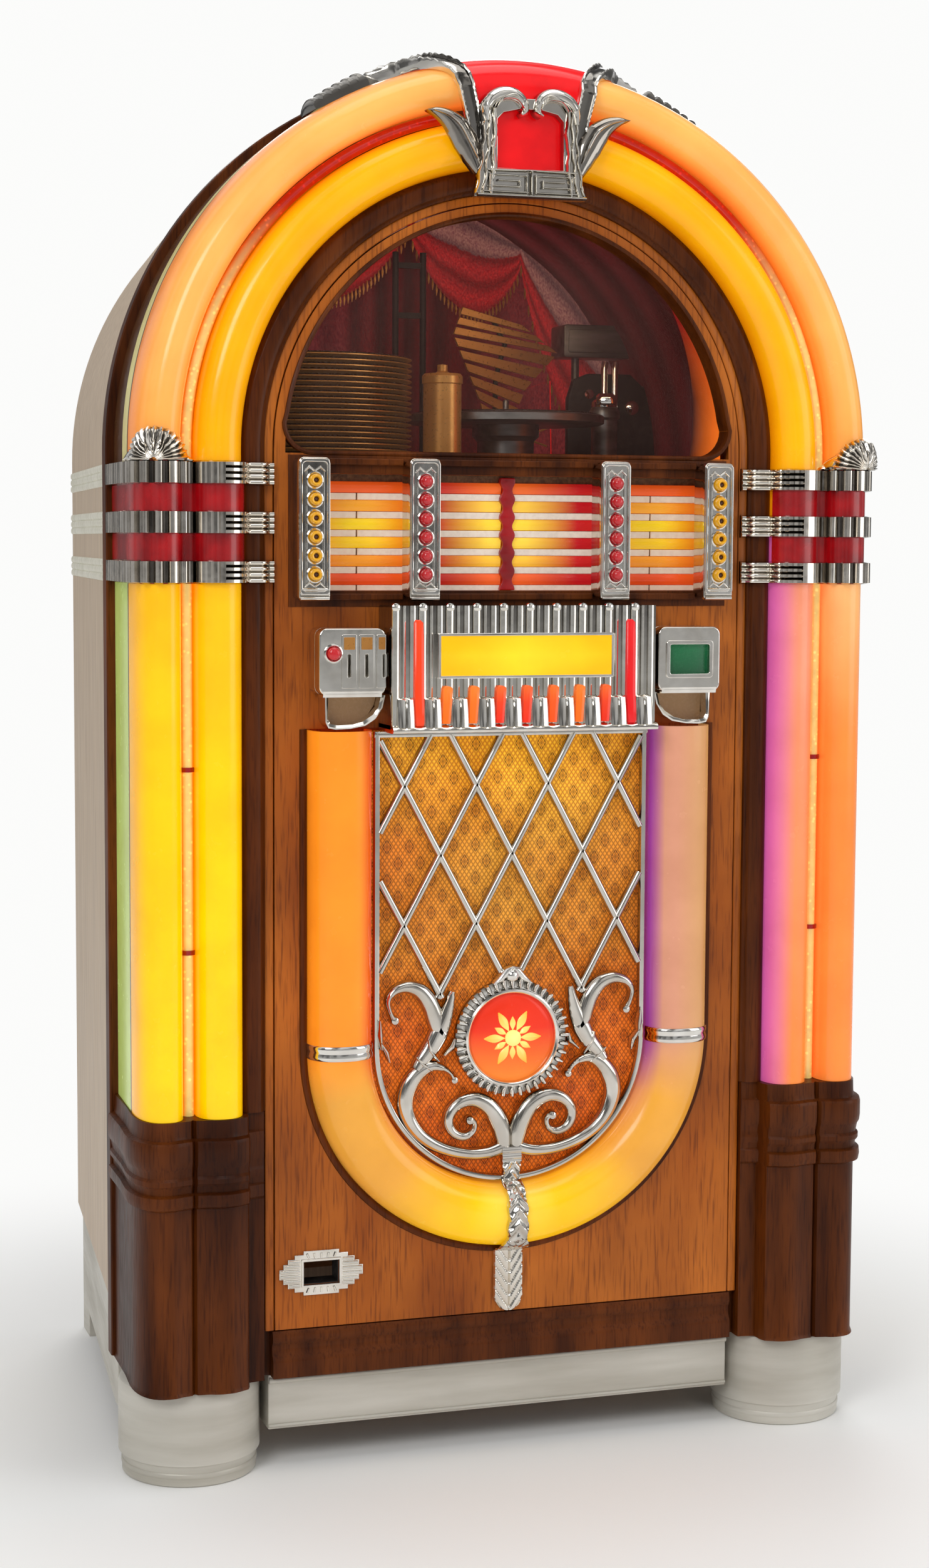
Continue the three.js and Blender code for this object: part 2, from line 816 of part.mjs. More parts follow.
// Cabinet
function shellProfile() {
  const slope = (shellFrontRadius - shellRearRadius) / (shellRearY - shellFrontY);
  const innerRear = shellRearRadius + slope * shellWall - shellWall;
  return [
    [shellFrontRadius, shellFrontY],
    [shellRearRadius, shellRearY],
    [shellRearRadius - rearRimWidth, shellRearY],
    [shellRearRadius - rearRimWidth, shellRearY - shellWall],
    [innerRear, shellRearY - shellWall],
    [shellFrontRadius - shellWall, shellFrontY],
  ];
}

function innerHalfWidthAt(y) {
  const slope = (shellFrontRadius - shellRearRadius) / (shellRearY - shellFrontY);
  return shellFrontRadius - slope * (y - shellFrontY) - shellWall;
}

// A board that spans the cabinet between its tapering sides
function innerBoard(frontY, rearY, bottomZ, topZ, sideGap) {
  const front = innerHalfWidthAt(frontY) - sideGap;
  const rear = innerHalfWidthAt(rearY) - sideGap;
  return slab([[-front, frontY], [front, frontY], [rear, rearY], [-rear, rearY]], bottomZ, topZ);
}

function cabinetShell() {
  const walls = sweep(shellProfile(), archStations(skirtTopZ));
  const floorTopZ = skirtTopZ + floorThickness;
  const floor = innerBoard(shellFrontY, shellRearY - shellWall / 2, skirtTopZ, floorTopZ, -shellWall / 2);
  const rimHalf = shellRearRadius - shellWall / 2;
  const sillTop = rearDoorBottomZ - doorGap;
  const sill = block(-rimHalf, rimHalf, shellRearY - shellWall, shellRearY, skirtTopZ, sillTop);
  const doorEdgeX = pivotWasherRadius - (shellRearRadius - rearRimWidth);
  const washerY = shellRearY - rearDoorThickness / 2;
  const washer = pivotWasher(doorEdgeX, washerY, sillTop, rearDoorBottomZ);
  return join(walls, floor, sill, washer);
}

function rearDoor() {
  const radius = shellRearRadius - rearRimWidth - doorGap;
  const frontY = shellRearY - rearDoorThickness;
  const panel = plate(archOutline(radius, rearDoorBottomZ), frontY, shellRearY);
  const vents = [];
  for (let row = 0; row < ventCount; row += 1) {
    const z = ventFirstZ + row * ventPitch;
    const vent = [-ventHalfWidth, ventHalfWidth, frontY - cutOverrun, shellRearY + cutOverrun];
    vents.push(block(...vent, z, z + ventHeight));
  }
  return cut(panel, ...vents);
}

// Feet and plinth
function foot(side) {
  const profile = [
    [0, 0],
    [footRadius - footStep, 0],
    [footRadius - footStep, footStepHeight],
    [footRadius, footStepHeight],
    [footRadius, footHeight - seatGap],
    [0, footHeight - seatGap],
  ];
  return turned(profile, footSides, side * footX, footY);
}

function plinthOutline(inset, frontHalf, frontY) {
  const jogHalf = shellFrontRadius - skirtInset - inset;
  const rearHalf = shellRearRadius - skirtInset - inset;
  const half = [
    [frontHalf - inset, frontY + inset],
    [frontHalf - inset, plinthJogY + inset],
    [jogHalf, plinthJogY + inset],
    [jogHalf, shellFrontY + inset],
    [rearHalf, shellRearY - inset],
  ];
  return [...half, ...half.map(([x, y]) => [-x, y]).reverse()];
}

function plinth() {
  const outline = plinthOutline(0, kickHalfWidth, kickFrontY);
  const hole = plinthOutline(plinthWall, kickHalfWidth, kickFrontY);
  const ring = slab(outline, kickBottomZ, footHeight - seatGap, [hole]);
  const sideHalf = (radius) => radius - skirtInset;
  const upper = [-1, 1].map((side) => slab([
    [side * sideHalf(shellFrontRadius), shellFrontY],
    [side * sideHalf(shellRearRadius), shellRearY],
    [side * (sideHalf(shellRearRadius) - plinthWall), shellRearY],
    [side * (sideHalf(shellFrontRadius) - plinthWall), shellFrontY],
  ], footHeight - seatGap * 2, skirtTopZ - seatGap));
  const legs = [-1, 1].map((side) => {
    const outerX = side * sideHalf(shellRearRadius);
    const innerX = outerX - side * rearLegSize;
    const across = [Math.min(outerX, innerX), Math.max(outerX, innerX)];
    return block(...across, shellRearY - rearLegSize, shellRearY, 0, kickBottomZ + seatGap);
  });
  const rearHalf = sideHalf(shellRearRadius) - plinthWall / 2;
  const rearWall = [-rearHalf, rearHalf, shellRearY - plinthWall, shellRearY];
  const rear = block(...rearWall, kickBottomZ, skirtTopZ - seatGap);
  return join(ring, ...upper, rear, ...legs);
}

// Front door
function frontDoor() {
  const panel = plate(archOutline(doorRadius, doorBottomZ), 0, doorThickness);
  const through = [-cutOverrun, doorThickness + cutOverrun];
  const window = plate(archOutline(windowRadius, windowBottomZ), ...through);
  const titles = block(-titleHalfWidth, titleHalfWidth, ...through, titleBottomZ, titleTopZ);
  const recess = plate(uOutline(recessRadius, recessTopZ), -cutOverrun, recessDepth);
  const speakerHole = plate(uOutline(speakerHoleRadius, recessTopZ - rimWidth), ...through);
  const coinReturn = block(
    returnCentreX - returnHalfWidth, returnCentreX + returnHalfWidth,
    ...through,
    returnCentreZ - returnHalfHeight, returnCentreZ + returnHalfHeight,
  );
  return cut(panel, window, titles, recess, speakerHole, coinReturn);
}

function domeGlass() {
  const bottomZ = windowBottomZ - glassOverlap;
  const frontY = doorThickness + seatGap;
  return plate(archOutline(windowRadius + glassOverlap, bottomZ), frontY, frontY + glassThickness);
}

function titleBoard() {
  const frontY = doorThickness + seatGap;
  const halfWidth = titleHalfWidth + titleOverlap;
  const topZ = titleTopZ + titleOverlap;
  return block(-halfWidth, halfWidth, frontY, frontY + titleThickness, titleBottomZ - titleOverlap, topZ);
}

// Selector
function buttonPlaces() {
  const places = [];
  [-outerBarX, -innerBarX, innerBarX, outerBarX].forEach((x, column) => {
    for (let row = 0; row < buttonRows; row += 1) {
      const name = `selector_button_${column + 1}_${row + 1}`;
      places.push({ name, x, z: buttonTopZ - row * buttonPitch, column });
    }
  });
  return places;
}

function selectorFrame() {
  const backY = -seatGap;
  const bars = [-outerBarX, -innerBarX, innerBarX, outerBarX].map((x) => (
    block(x - barHalfWidth, x + barHalfWidth, -barProud, backY, barBottomZ, barTopZ)
  ));
  const railHalf = outerBarX;
  const topRail = block(-railHalf, railHalf, -railProud, backY, barTopZ - railHeight, barTopZ);
  const lowRail = block(-railHalf, railHalf, -railProud, backY, barBottomZ, barBottomZ + railHeight);
  const boreRadius = buttonRadius + buttonBoreClearance;
  const boreProfile = [
    [0, -barProud - cutOverrun],
    [boreRadius, -barProud - cutOverrun],
    [boreRadius, -barProud + buttonBoreDepth],
    [0, -barProud + buttonBoreDepth],
  ];
  const bores = buttonPlaces().map(({ x, z }) => turnedAlongY(boreProfile, buttonSides, x, z));
  return cut(join(...bars, topRail, lowRail), ...bores);
}

function roundButton(radius, proud, length, faceY, sides, x, z) {
  const frontY = faceY - proud;
  const profile = [
    [0, frontY],
    [radius * Math.SQRT1_2, frontY + radius * (1 - Math.SQRT1_2)],
    [radius, frontY + radius],
    [radius, frontY + length],
    [0, frontY + length],
  ];
  return turnedAlongY(profile, sides, x, z);
}

// Grille header: a fluted box with a lip
function grilleHeader() {
  const outline = [[headerHalfWidth, -seatGap], [-headerHalfWidth, -seatGap]];
  const pitch = (2 * headerHalfWidth) / fluteCount;
  for (let flute = 0; flute < fluteCount; flute += 1) {
    const x = -headerHalfWidth + flute * pitch;
    outline.push([x, -headerProud], [x + pitch / 2, -headerProud + fluteDepth]);
  }
  outline.push([headerHalfWidth, -headerProud]);
  const body = slab(outline, headerBottomZ, headerTopZ);
  const lipTop = headerBottomZ + headerLipHeight;
  const lipBackY = -headerProud + fluteDepth;
  const lip = block(-headerHalfWidth, headerHalfWidth, -headerLipProud, lipBackY, headerBottomZ, lipTop);
  return join(body, lip);
}

function roundedRectangle(x0, x1, z0, z1, round) {
  return [
    [x0 + round, z0], [x1 - round, z0], [x1, z0 + round], [x1, z1 - round],
    [x1 - round, z1], [x0 + round, z1], [x0, z1 - round], [x0, z0 + round],
  ];
}

// Half-round horn under a side box
function halfCup(centreX) {
  const bottomZ = sideBoxBottomZ - cupHeight;
  const topZ = sideBoxBottomZ + seatGap;
  const profile = [[0, bottomZ], [cupTipRadius, bottomZ], [cupRadius, topZ], [0, topZ]];
  const horn = turned(profile, cupSides, centreX, -seatGap);
  const reach = cupRadius + cutOverrun;
  return cut(horn, block(centreX - reach, centreX + reach, -seatGap, reach, bottomZ - reach, topZ + reach));
}

function sideBox(side) {
  const x0 = side < 0 ? -sideBoxOuterX : sideBoxInnerX;
  const x1 = side < 0 ? -sideBoxInnerX : sideBoxOuterX;
  const outline = roundedRectangle(x0, x1, sideBoxBottomZ, sideBoxTopZ, sideBoxRound);
  return join(plate(outline, -sideBoxProud, -seatGap), halfCup((x0 + x1) / 2));
}

function coinEntry() {
  const cutters = [];
  for (let slot = 0; slot < slotCount; slot += 1) {
    const x = slotFirstX + slot * slotPitch;
    const halfWidth = slotWidth / 2;
    const slotEndY = -sideBoxProud + slotDepth;
    const depth = [-sideBoxProud - cutOverrun, slotEndY];
    cutters.push(block(x - halfWidth, x + halfWidth, ...depth, slotZ, slotZ + slotHeight));
  }
  const boreRadius = rejectRadius + buttonBoreClearance;
  const boreStart = -sideBoxProud - cutOverrun;
  const boreEnd = -sideBoxProud - rejectProud + rejectLength + rejectTravelRoom;
  const bore = [[0, boreStart], [boreRadius, boreStart], [boreRadius, boreEnd], [0, boreEnd]];
  cutters.push(turnedAlongY(bore, buttonSides, rejectX, rejectZ));
  return cut(sideBox(-1), ...cutters);
}

function rejectButton() {
  const sizes = [rejectRadius, rejectProud, rejectLength];
  return roundButton(...sizes, -sideBoxProud, buttonSides, rejectX, rejectZ);
}

function displayBox() {
  const centreX = (sideBoxInnerX + sideBoxOuterX) / 2;
  const centreZ = (sideBoxBottomZ + sideBoxTopZ) / 2;
  const window = block(
    centreX - displayHalfWidth, centreX + displayHalfWidth,
    -sideBoxProud - cutOverrun, -sideBoxProud + displayDepth,
    centreZ - displayHalfHeight, centreZ + displayHalfHeight,
  );
  return cut(sideBox(1), window);
}

// U-shaped plastic, cloth board and grille
function uPilaster() {
  const crest = (uTubeInner + uTubeOuter) / 2;
  const half = (uTubeOuter - uTubeInner) / 2;
  const backY = recessDepth - seatGap;
  const front = (inset) => [
    ...ovalQuarter(crest, half - inset, 0, -uTubeFrontY - inset, 0, 1),
    ...ovalQuarter(crest, half - inset, 0, -uTubeFrontY - inset, 1, 2).slice(1),
  ];
  const profile = [
    [uTubeInner, backY],
    ...front(0),
    [uTubeOuter, backY],
    [uTubeOuter - plasticThickness, backY],
    ...front(plasticThickness).reverse(),
    [uTubeInner + plasticThickness, backY],
  ];
  return sweep(profile, uStations(recessTopZ - doorGap));
}

function grilleCloth() {
  const backY = recessDepth - seatGap;
  return plate(uOutline(clothRadius, recessTopZ - doorGap), backY - clothThickness, backY);
}

function barBetween(x0, z0, x1, z1, width, frontY, backY) {
  const length = Math.hypot(x1 - x0, z1 - z0);
  const ax = (-(z1 - z0) / length) * (width / 2);
  const az = ((x1 - x0) / length) * (width / 2);
  const outline = [[x0 - ax, z0 - az], [x1 - ax, z1 - az], [x1 + ax, z1 + az], [x0 + ax, z0 + az]];
  return plate(outline, frontY, backY);
}

// A curved strip in x and z, from one angle to another
function arcStrip(centreX, centreZ, radius, width, fromAngle, toAngle, frontY, backY) {
  const outer = [];
  const inner = [];
  for (let step = 0; step <= scrollSteps; step += 1) {
    const angle = (fromAngle + ((toAngle - fromAngle) * step) / scrollSteps) * degree;
    const reach = [Math.cos(angle), Math.sin(angle)];
    outer.push([centreX + (radius + width / 2) * reach[0], centreZ + (radius + width / 2) * reach[1]]);
    inner.push([centreX + (radius - width / 2) * reach[0], centreZ + (radius - width / 2) * reach[1]]);
  }
  return plate([...outer, ...inner.reverse()], frontY, backY);
}

function latticeBarsOf(side, frontY, backY) {
  const bars = [];
  const half = clothRadius - rimWidth;
  const topZ = headerBottomZ - wrapGap - rimWidth / 2;
  const pitch = (2 * half) / (latticeBars - 1);
  const run = pitch * 2;
  for (let bar = -1; bar < latticeBars; bar += 1) {
    const startX = side * (-half + bar * pitch);
    const endX = startX + side * run;
    const enter = Math.max(0, (-half - side * startX) / run);
    const leave = Math.min(1, (half - side * startX) / run);
    if (leave - enter < shortestBarShare) continue;
    const place = (share) => [startX + (endX - startX) * share, topZ + (latticeBottomZ - topZ) * share];
    bars.push(barBetween(...place(enter), ...place(leave), latticeBarWidth, frontY, backY));
  }
  return bars;
}

function grilleCasting() {
  const frontY = grilleFrontY;
  const backY = grilleFrontY + grilleThickness;
  const rimOuter = clothRadius;
  const rimInner = rimOuter - rimWidth;
  const rimProfile = [[rimOuter, frontY], [rimOuter, backY], [rimInner, backY], [rimInner, frontY]];
  const rimTop = headerBottomZ - wrapGap;
  const pieces = [sweep(rimProfile, uStations(rimTop))];
  pieces.push(block(-rimOuter, rimOuter, frontY, backY, rimTop - rimWidth, rimTop));
  pieces.push(...latticeBarsOf(1, frontY, backY), ...latticeBarsOf(-1, frontY, backY));
  const dialBack = backY;
  const dial = [
    [0, frontY - dialThickness],
    [bezelRadius, frontY - dialThickness],
    [bezelRadius, frontY - bezelTubeRadius],
    [bezelRadius + bezelTubeRadius, frontY - bezelTubeRadius],
    [bezelRadius + bezelTubeRadius, dialBack],
    [0, dialBack],
  ];
  pieces.push(turnedAlongY(dial, speakerSides, 0, bezelCentreZ));
  for (const side of [-1, 1]) {
    const turns = (angles) => angles.map((angle) => (side > 0 ? angle : 180 - angle));
    const depth = [frontY, backY];
    const scroll = [side * scrollX, scrollZ, scrollRadius, scrollBar];
    const curl = [side * curlX, curlZ, curlRadius, scrollBar];
    pieces.push(arcStrip(...scroll, ...turns(scrollAngles), ...depth));
    pieces.push(arcStrip(...curl, ...turns(curlAngles), ...depth));
    const scrollStem = [side * scrollX, latticeBottomZ, side * bezelRadius, bezelCentreZ];
    const curlStem = [side * curlX, curlZ + curlRadius, side * curlX, bezelCentreZ];
    pieces.push(barBetween(...scrollStem, scrollBar, ...depth));
    pieces.push(barBetween(...curlStem, scrollBar, ...depth));
  }
  const uFrontY = uTubeFrontY - wrapGap;
  const stemTop = grilleCentreZ - rimOuter + rimWidth;
  const tail = [-tailHalfWidth, tailHalfWidth];
  pieces.push(block(...tail, tailFrontY, backY, stemTop - rimWidth, tailTopZ));
  const leafTop = grilleCentreZ - recessRadius - seatGap;
  pieces.push(block(...tail, tailFrontY, uFrontY, leafTop - rimWidth, stemTop));
  pieces.push(block(...tail, tailFrontY, -seatGap, leafTop - tailBridge, leafTop));
  pieces.push(block(...tail, tailLeafY, -seatGap, tailBottomZ, leafTop - rimWidth));
  const stem = [-tailHalfWidth / 2, tailHalfWidth / 2, frontY, backY];
  pieces.push(block(...stem, stemTop - rimWidth, bezelCentreZ));
  return join(...pieces);
}

// Speaker behind the door
function speaker() {
  const y0 = doorThickness + seatGap;
  const profile = [
    [0, y0 + speakerConeDepth / 2],
    [speakerMagnetRadius, y0 + speakerConeDepth / 2],
    [speakerRimRadius - speakerRimThickness * 2, y0],
    [speakerRimRadius, y0],
    [speakerRimRadius, y0 + speakerRimThickness],
    [speakerMagnetRadius, y0 + speakerConeDepth],
    [speakerMagnetRadius, y0 + speakerConeDepth + speakerMagnetDepth],
    [0, y0 + speakerConeDepth + speakerMagnetDepth],
  ];
  return turnedAlongY(profile, speakerSides, 0, speakerZ);
}

// Record mechanism
function recordStack() {
  const profile = [[stackPostRadius, stackBottomZ]];
  for (let tray = 0; tray < trayCount; tray += 1) {
    const z = stackBottomZ + tray * trayPitch;
    profile.push([stackRadius, z + trayPitch / 2], [stackRadius - trayLip, z + trayPitch]);
  }
  const topZ = stackBottomZ + (trayCount + 1) * trayPitch;
  profile.push([stackPostRadius, topZ], [0, topZ]);
  return turned([[0, stackBottomZ], ...profile], stackSides, stackX, stackY);
}

function mechanismFrame() {
  const shelf = innerBoard(shelfFrontY, shelfRearY, shelfZ, shelfZ + shelfThickness, seatGap);
  const shelfTop = shelfZ + shelfThickness - seatGap;
  const post = (radius, topZ, x, y) => {
    const profile = [[0, shelfTop], [radius, shelfTop], [radius, topZ], [0, topZ]];
    return turned(profile, buttonSides, x, y);
  };
  const stackPost = post(stackPostRadius, stackBottomZ - seatGap, stackX, stackY);
  const platterPost = post(columnRadius, platterZ - seatGap, platterX, platterY);
  const armPost = post(armPivotRadius, platterZ + platterThickness + armLift - seatGap, armPivotX, armPivotY);
  return join(shelf, stackPost, platterPost, armPost);
}

function platter() {
  const topZ = platterZ + platterThickness;
  const profile = [
    [0, platterZ],
    [platterRadius, platterZ],
    [platterRadius, topZ],
    [spindleRadius, topZ],
    [spindleRadius, topZ + spindleHeight],
    [0, topZ + spindleHeight],
  ];
  return turned(profile, speakerSides, platterX, platterY);
}

function pickupArm() {
  const bottomZ = platterZ + platterThickness + armLift;
  const topZ = bottomZ + armHeight;
  const hubProfile = [[0, bottomZ], [armPivotRadius, bottomZ], [armPivotRadius, topZ], [0, topZ]];
  const hub = turned(hubProfile, buttonSides, 0, 0);
  const tube = block(0, armLength, -armWidth / 2, armWidth / 2, bottomZ, topZ);
  const headStart = armLength - armHeadLength / 2;
  const headEnd = armLength + armHeadLength / 2;
  const head = block(headStart, headEnd, -armHeadWidth / 2, armHeadWidth / 2, bottomZ - armHeadDrop, topZ);
  return join(hub, tube, head).rotateZ(armAngle * degree).translate(armPivotX, armPivotY, 0);
}

// Amplifier chassis with valves, and cash box
function amplifier() {
  const [width, depth, height] = amplifierSize;
  const bottomZ = skirtTopZ + floorThickness + seatGap;
  const topZ = bottomZ + height;
  const across = [amplifierX - width / 2, amplifierX + width / 2];
  const chassis = block(...across, amplifierY - depth / 2, amplifierY + depth / 2, bottomZ, topZ);
  const valves = [];
  for (let valve = 0; valve < valveCount; valve += 1) {
    const x = amplifierX + width * ((valve + 1) / (valveCount + 1) - 1 / 2);
    const profile = [
      [0, topZ - seatGap],
      [valveRadius, topZ - seatGap],
      [valveRadius, topZ + valveHeight - valveRadius],
      [0, topZ + valveHeight],
    ];
    valves.push(turned(profile, buttonSides, x, amplifierY));
  }
  return join(chassis, ...valves);
}

function cashBox() {
  const [width, depth, height] = cashBoxSize;
  const bottomZ = skirtTopZ + floorThickness + seatGap;
  const x0 = cashBoxX - width / 2;
  const x1 = cashBoxX + width / 2;
  const y0 = cashBoxY - depth / 2;
  const y1 = cashBoxY + depth / 2;
  const wall = cashBoxWall;
  const topZ = bottomZ + height;
  const hollow = block(x0 + wall, x1 - wall, y0 + wall, y1 - wall, bottomZ + wall, topZ + cutOverrun);
  return cut(block(x0, x1, y0, y1, bottomZ, topZ), hollow);
}

// Assembly, centred over the origin from the crown's front to the cabinet's back
const jukebox = new THREE.Group();
const middleY = (crownFrontY + shellRearY) / 2;

function place(name, geometry, finish) {
  const [color, roughness, metalness] = finishes[finish];
  const centred = geometry.translate(0, -middleY, 0);
  const mesh = new THREE.Mesh(centred, new THREE.MeshStandardMaterial({ color, roughness, metalness }));
  mesh.name = name;
  jukebox.add(mesh);
}

const archBottomZ = trimTopZ - bandPitch - bandHeight / 2;
place('cabinet_shell', cabinetShell(), 'taupe');
place('front_frame', frontFrame(), 'walnut');
place('plinth', plinth(), 'aluminium');
place('arch_outer', sweep(outerLobeShell(), archStations(archBottomZ)), 'peach');
place('arch_inner', sweep(innerLobeShell(), archStations(archBottomZ)), 'amber');
for (const [side, label, finish] of [[-1, 'left', 'yellow'], [1, 'right', 'magenta']]) {
  place(`foot_${label}`, foot(side), 'aluminium');
  place(`pilaster_base_${label}`, pilasterBase(side), 'walnut');
  const column = columnStations(side, columnBottomZ, archBottomZ - seatGap);
  place(`pilaster_${label}`, sweep(pilasterProfile(), column), finish);
  place(`bubble_tube_${label}`, bubbleTube(side), 'clear');
  place(`shoulder_trim_${label}`, shoulderTrim(side), 'chrome');
}
place('crown_casting', crownCasting(), 'chrome');
place('crown_plastic', crownPlastic(), 'red');
place('rear_door', rearDoor(), 'board');

place('front_door', frontDoor(), 'lightWood');
place('dome_glass', domeGlass(), 'glass');
place('title_board', titleBoard(), 'peach');
place('selector_frame', selectorFrame(), 'chrome');
for (const { name, x, z, column } of buttonPlaces()) {
  const button = roundButton(buttonRadius, buttonProud, buttonLength, -barProud, buttonSides, x, z);
  place(name, button, column === 0 || column === 3 ? 'yellow' : 'red');
}
place('grille_header', grilleHeader(), 'chrome');
place('coin_entry', coinEntry(), 'chrome');
place('reject_button', rejectButton(), 'red');
place('display_box', displayBox(), 'chrome');
place('u_pilaster', uPilaster(), 'peach');
place('grille_cloth', grilleCloth(), 'gold');
place('grille_casting', grilleCasting(), 'chrome');
place('speaker', speaker(), 'black');

place('mechanism_frame', mechanismFrame(), 'steel');
place('record_stack', recordStack(), 'black');
place('platter', platter(), 'steel');
place('pickup_arm', pickupArm(), 'chrome');
place('amplifier', amplifier(), 'steel');
place('cash_box', cashBox(), 'steel');

export default jukebox;
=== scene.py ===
"""Looks of an arched, lit, coin-operated record player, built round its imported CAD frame.

Lengths here are millimetres in the CAD source's own depths, in which y = 0 is the front door's front face.
"""

import math

import bmesh
import bpy
from mathutils import Matrix, Vector


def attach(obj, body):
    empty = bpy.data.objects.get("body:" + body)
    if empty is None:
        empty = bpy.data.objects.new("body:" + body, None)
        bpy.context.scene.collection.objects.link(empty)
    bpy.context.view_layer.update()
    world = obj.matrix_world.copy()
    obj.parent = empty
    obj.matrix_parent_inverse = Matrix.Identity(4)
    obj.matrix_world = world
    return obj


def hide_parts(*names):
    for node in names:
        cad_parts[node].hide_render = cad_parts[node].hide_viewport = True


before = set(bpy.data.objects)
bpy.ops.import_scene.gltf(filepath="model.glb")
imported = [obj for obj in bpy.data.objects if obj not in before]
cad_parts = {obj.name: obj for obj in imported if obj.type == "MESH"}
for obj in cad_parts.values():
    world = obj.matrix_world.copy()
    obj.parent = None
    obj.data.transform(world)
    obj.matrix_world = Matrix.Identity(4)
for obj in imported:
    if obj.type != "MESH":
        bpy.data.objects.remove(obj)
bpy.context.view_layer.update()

MM = 0.001
MIDDLE_Y = 265.0
ARCH_Z = 1106.0
GRILLE_Z = 464.0
TAU = 2 * math.pi
SIDES = ((-1, "left"), (1, "right"))
WHITE = (1, 1, 1)
BACKDROP = (0.97, 0.97, 0.96, 1)

CAMERA_PLACE = (-920.8, -2722.8, 1011.2)
CAMERA_YAW, CAMERA_PITCH, CAMERA_ROLL = 17.68, -5.26, 0.31
CAMERA_LENS, CAMERA_SENSOR = 60.56, 36


def linked(name, data):
    made = bpy.data.objects.new(name, data)
    bpy.context.scene.collection.objects.link(made)
    return made


# Camera, at the photograph's place and angle
def make_camera():
    yaw, pitch, roll = (math.radians(a) for a in (CAMERA_YAW, CAMERA_PITCH, CAMERA_ROLL))
    ahead = Vector((math.sin(yaw) * math.cos(pitch), math.cos(yaw) * math.cos(pitch), math.sin(pitch)))
    across = Vector((math.cos(yaw), -math.sin(yaw), 0))
    above = across.cross(ahead)
    across = across * math.cos(roll) + above * math.sin(roll)
    above = across.cross(ahead)
    data = bpy.data.cameras.new("camera")
    data.lens = CAMERA_LENS
    data.sensor_width = CAMERA_SENSOR
    camera = linked("camera", data)
    x, y, z = CAMERA_PLACE
    turn = Matrix((across, above, -ahead)).transposed().to_4x4()
    camera.matrix_world = Matrix.Translation(Vector((x, y - MIDDLE_Y, z)) * MM) @ turn
    bpy.context.scene.camera = camera


make_camera()


# Colour and shader nodes
def srgb(*rgb):
    return tuple(((c / 255 + 0.055) / 1.055) ** 2.4 if c > 10 else c / 255 / 12.92 for c in rgb)


def mix(a, b, share):
    share = min(1.0, max(0.0, share))
    return tuple(p + (q - p) * share for p, q in zip(a, b))


def fill(tree, node, sockets):
    """Gives a node's inputs a constant or another node's output."""
    for name, value in sockets.items():
        if isinstance(value, bpy.types.NodeSocket):
            tree.links.new(value, node.inputs[name])
        else:
            node.inputs[name].default_value = value


def add(tree, kind, sockets=None, **settings):
    node = tree.nodes.new("ShaderNode" + kind)
    for key, value in settings.items():
        setattr(node, key, value)
    fill(tree, node, sockets or {})
    return node


def stretched(tree, place, scale, rotation=(0, 0, 0)):
    return add(tree, "Mapping", {"Vector": place, "Scale": scale, "Rotation": rotation}).outputs[0]


def noise(tree, place, scale, detail):
    return add(tree, "TexNoise", {"Vector": place, "Scale": scale, "Detail": detail}).outputs["Fac"]


def ramp(tree, factor, *stops):
    """A colour ramp through stops of a position and a colour."""
    node = add(tree, "ValToRGB", {"Fac": factor})
    elements = node.color_ramp.elements
    elements[0].position, elements[1].position = stops[0][0], stops[-1][0]
    for position, _ in stops[1:-1]:
        elements.new(position)
    for element, (_, color) in zip(elements, stops):
        element.color = (*color, 1)
    return node.outputs["Color"]


def spread(tree, value, start, end, low, high, **settings):
    sockets = {"Value": value, "From Min": start, "From Max": end, "To Min": low, "To Max": high}
    return add(tree, "MapRange", sockets, **settings).outputs[0]


def times(tree, a, b, factor=1):
    sockets = {"Factor": factor, "A": a, "B": b}
    return add(tree, "Mix", sockets, data_type="RGBA", blend_type="MULTIPLY").outputs["Result"]


# Patterns that finishes add to their colour and height
def pores(tree, place, color):
    """Short dark pores along the grain of stained wood, over wide blotches."""
    fleck = noise(tree, stretched(tree, place, (1, 1, 0.06)), 420, 2)
    dark = ramp(tree, fleck, (0.3, (0.45, 0.38, 0.33)), (0.5, WHITE))
    blotch = ramp(tree, noise(tree, place, 7, 3), (0.3, (0.72, 0.68, 0.66)), (0.7, (1.08, 1.06, 1.03)))
    return times(tree, times(tree, color, dark, 0.75), blotch), fleck


MOTIF_WIDTH, MOTIF_HEIGHT = 0.0252, 0.0368
THREADS_PER_MOTIF = 5


def diamond_weave(tree, place, color):
    """Gold brocade: small diamonds with a dot, over a diagonal weave."""
    cells = []
    for share in (1, 1 / THREADS_PER_MOTIF):
        scale = (math.sqrt(2) / (MOTIF_WIDTH * share), 0, math.sqrt(2) / (MOTIF_HEIGHT * share))
        sockets = {"Vector": stretched(tree, place, scale, (0, TAU / 8, 0)), "Scale": 1, "Randomness": 0}
        cells.append(add(tree, "TexVoronoi", sockets, distance="CHEBYCHEV").outputs["Distance"])
    diamond, thread = cells
    stops = [(0, (0.3, 0.2, 0.14))]
    for position, value in ((0.05, 0.2), (0.07, 1), (0.16, 1), (0.18, 0.22), (0.225, 0.22)):
        stops.append((position, (value, value * 0.9 + 0.02, value * 0.8 + 0.02)))
    lined = times(tree, color, ramp(tree, diamond, *stops, (0.245, WHITE)), 0.85)
    return times(tree, lined, spread(tree, thread, 0.15, 0.5, 1.2, 0.25), 0.8), thread


def bubbles(tree, place, color):
    """Rising bubbles in a lit tube."""
    cell = add(tree, "TexVoronoi", {"Vector": place, "Scale": 150}).outputs["Distance"]
    return times(tree, color, ramp(tree, cell, (0.12, (1.3, 1.24, 1.1)), (0.32, (0.88, 0.82, 0.76)))), cell


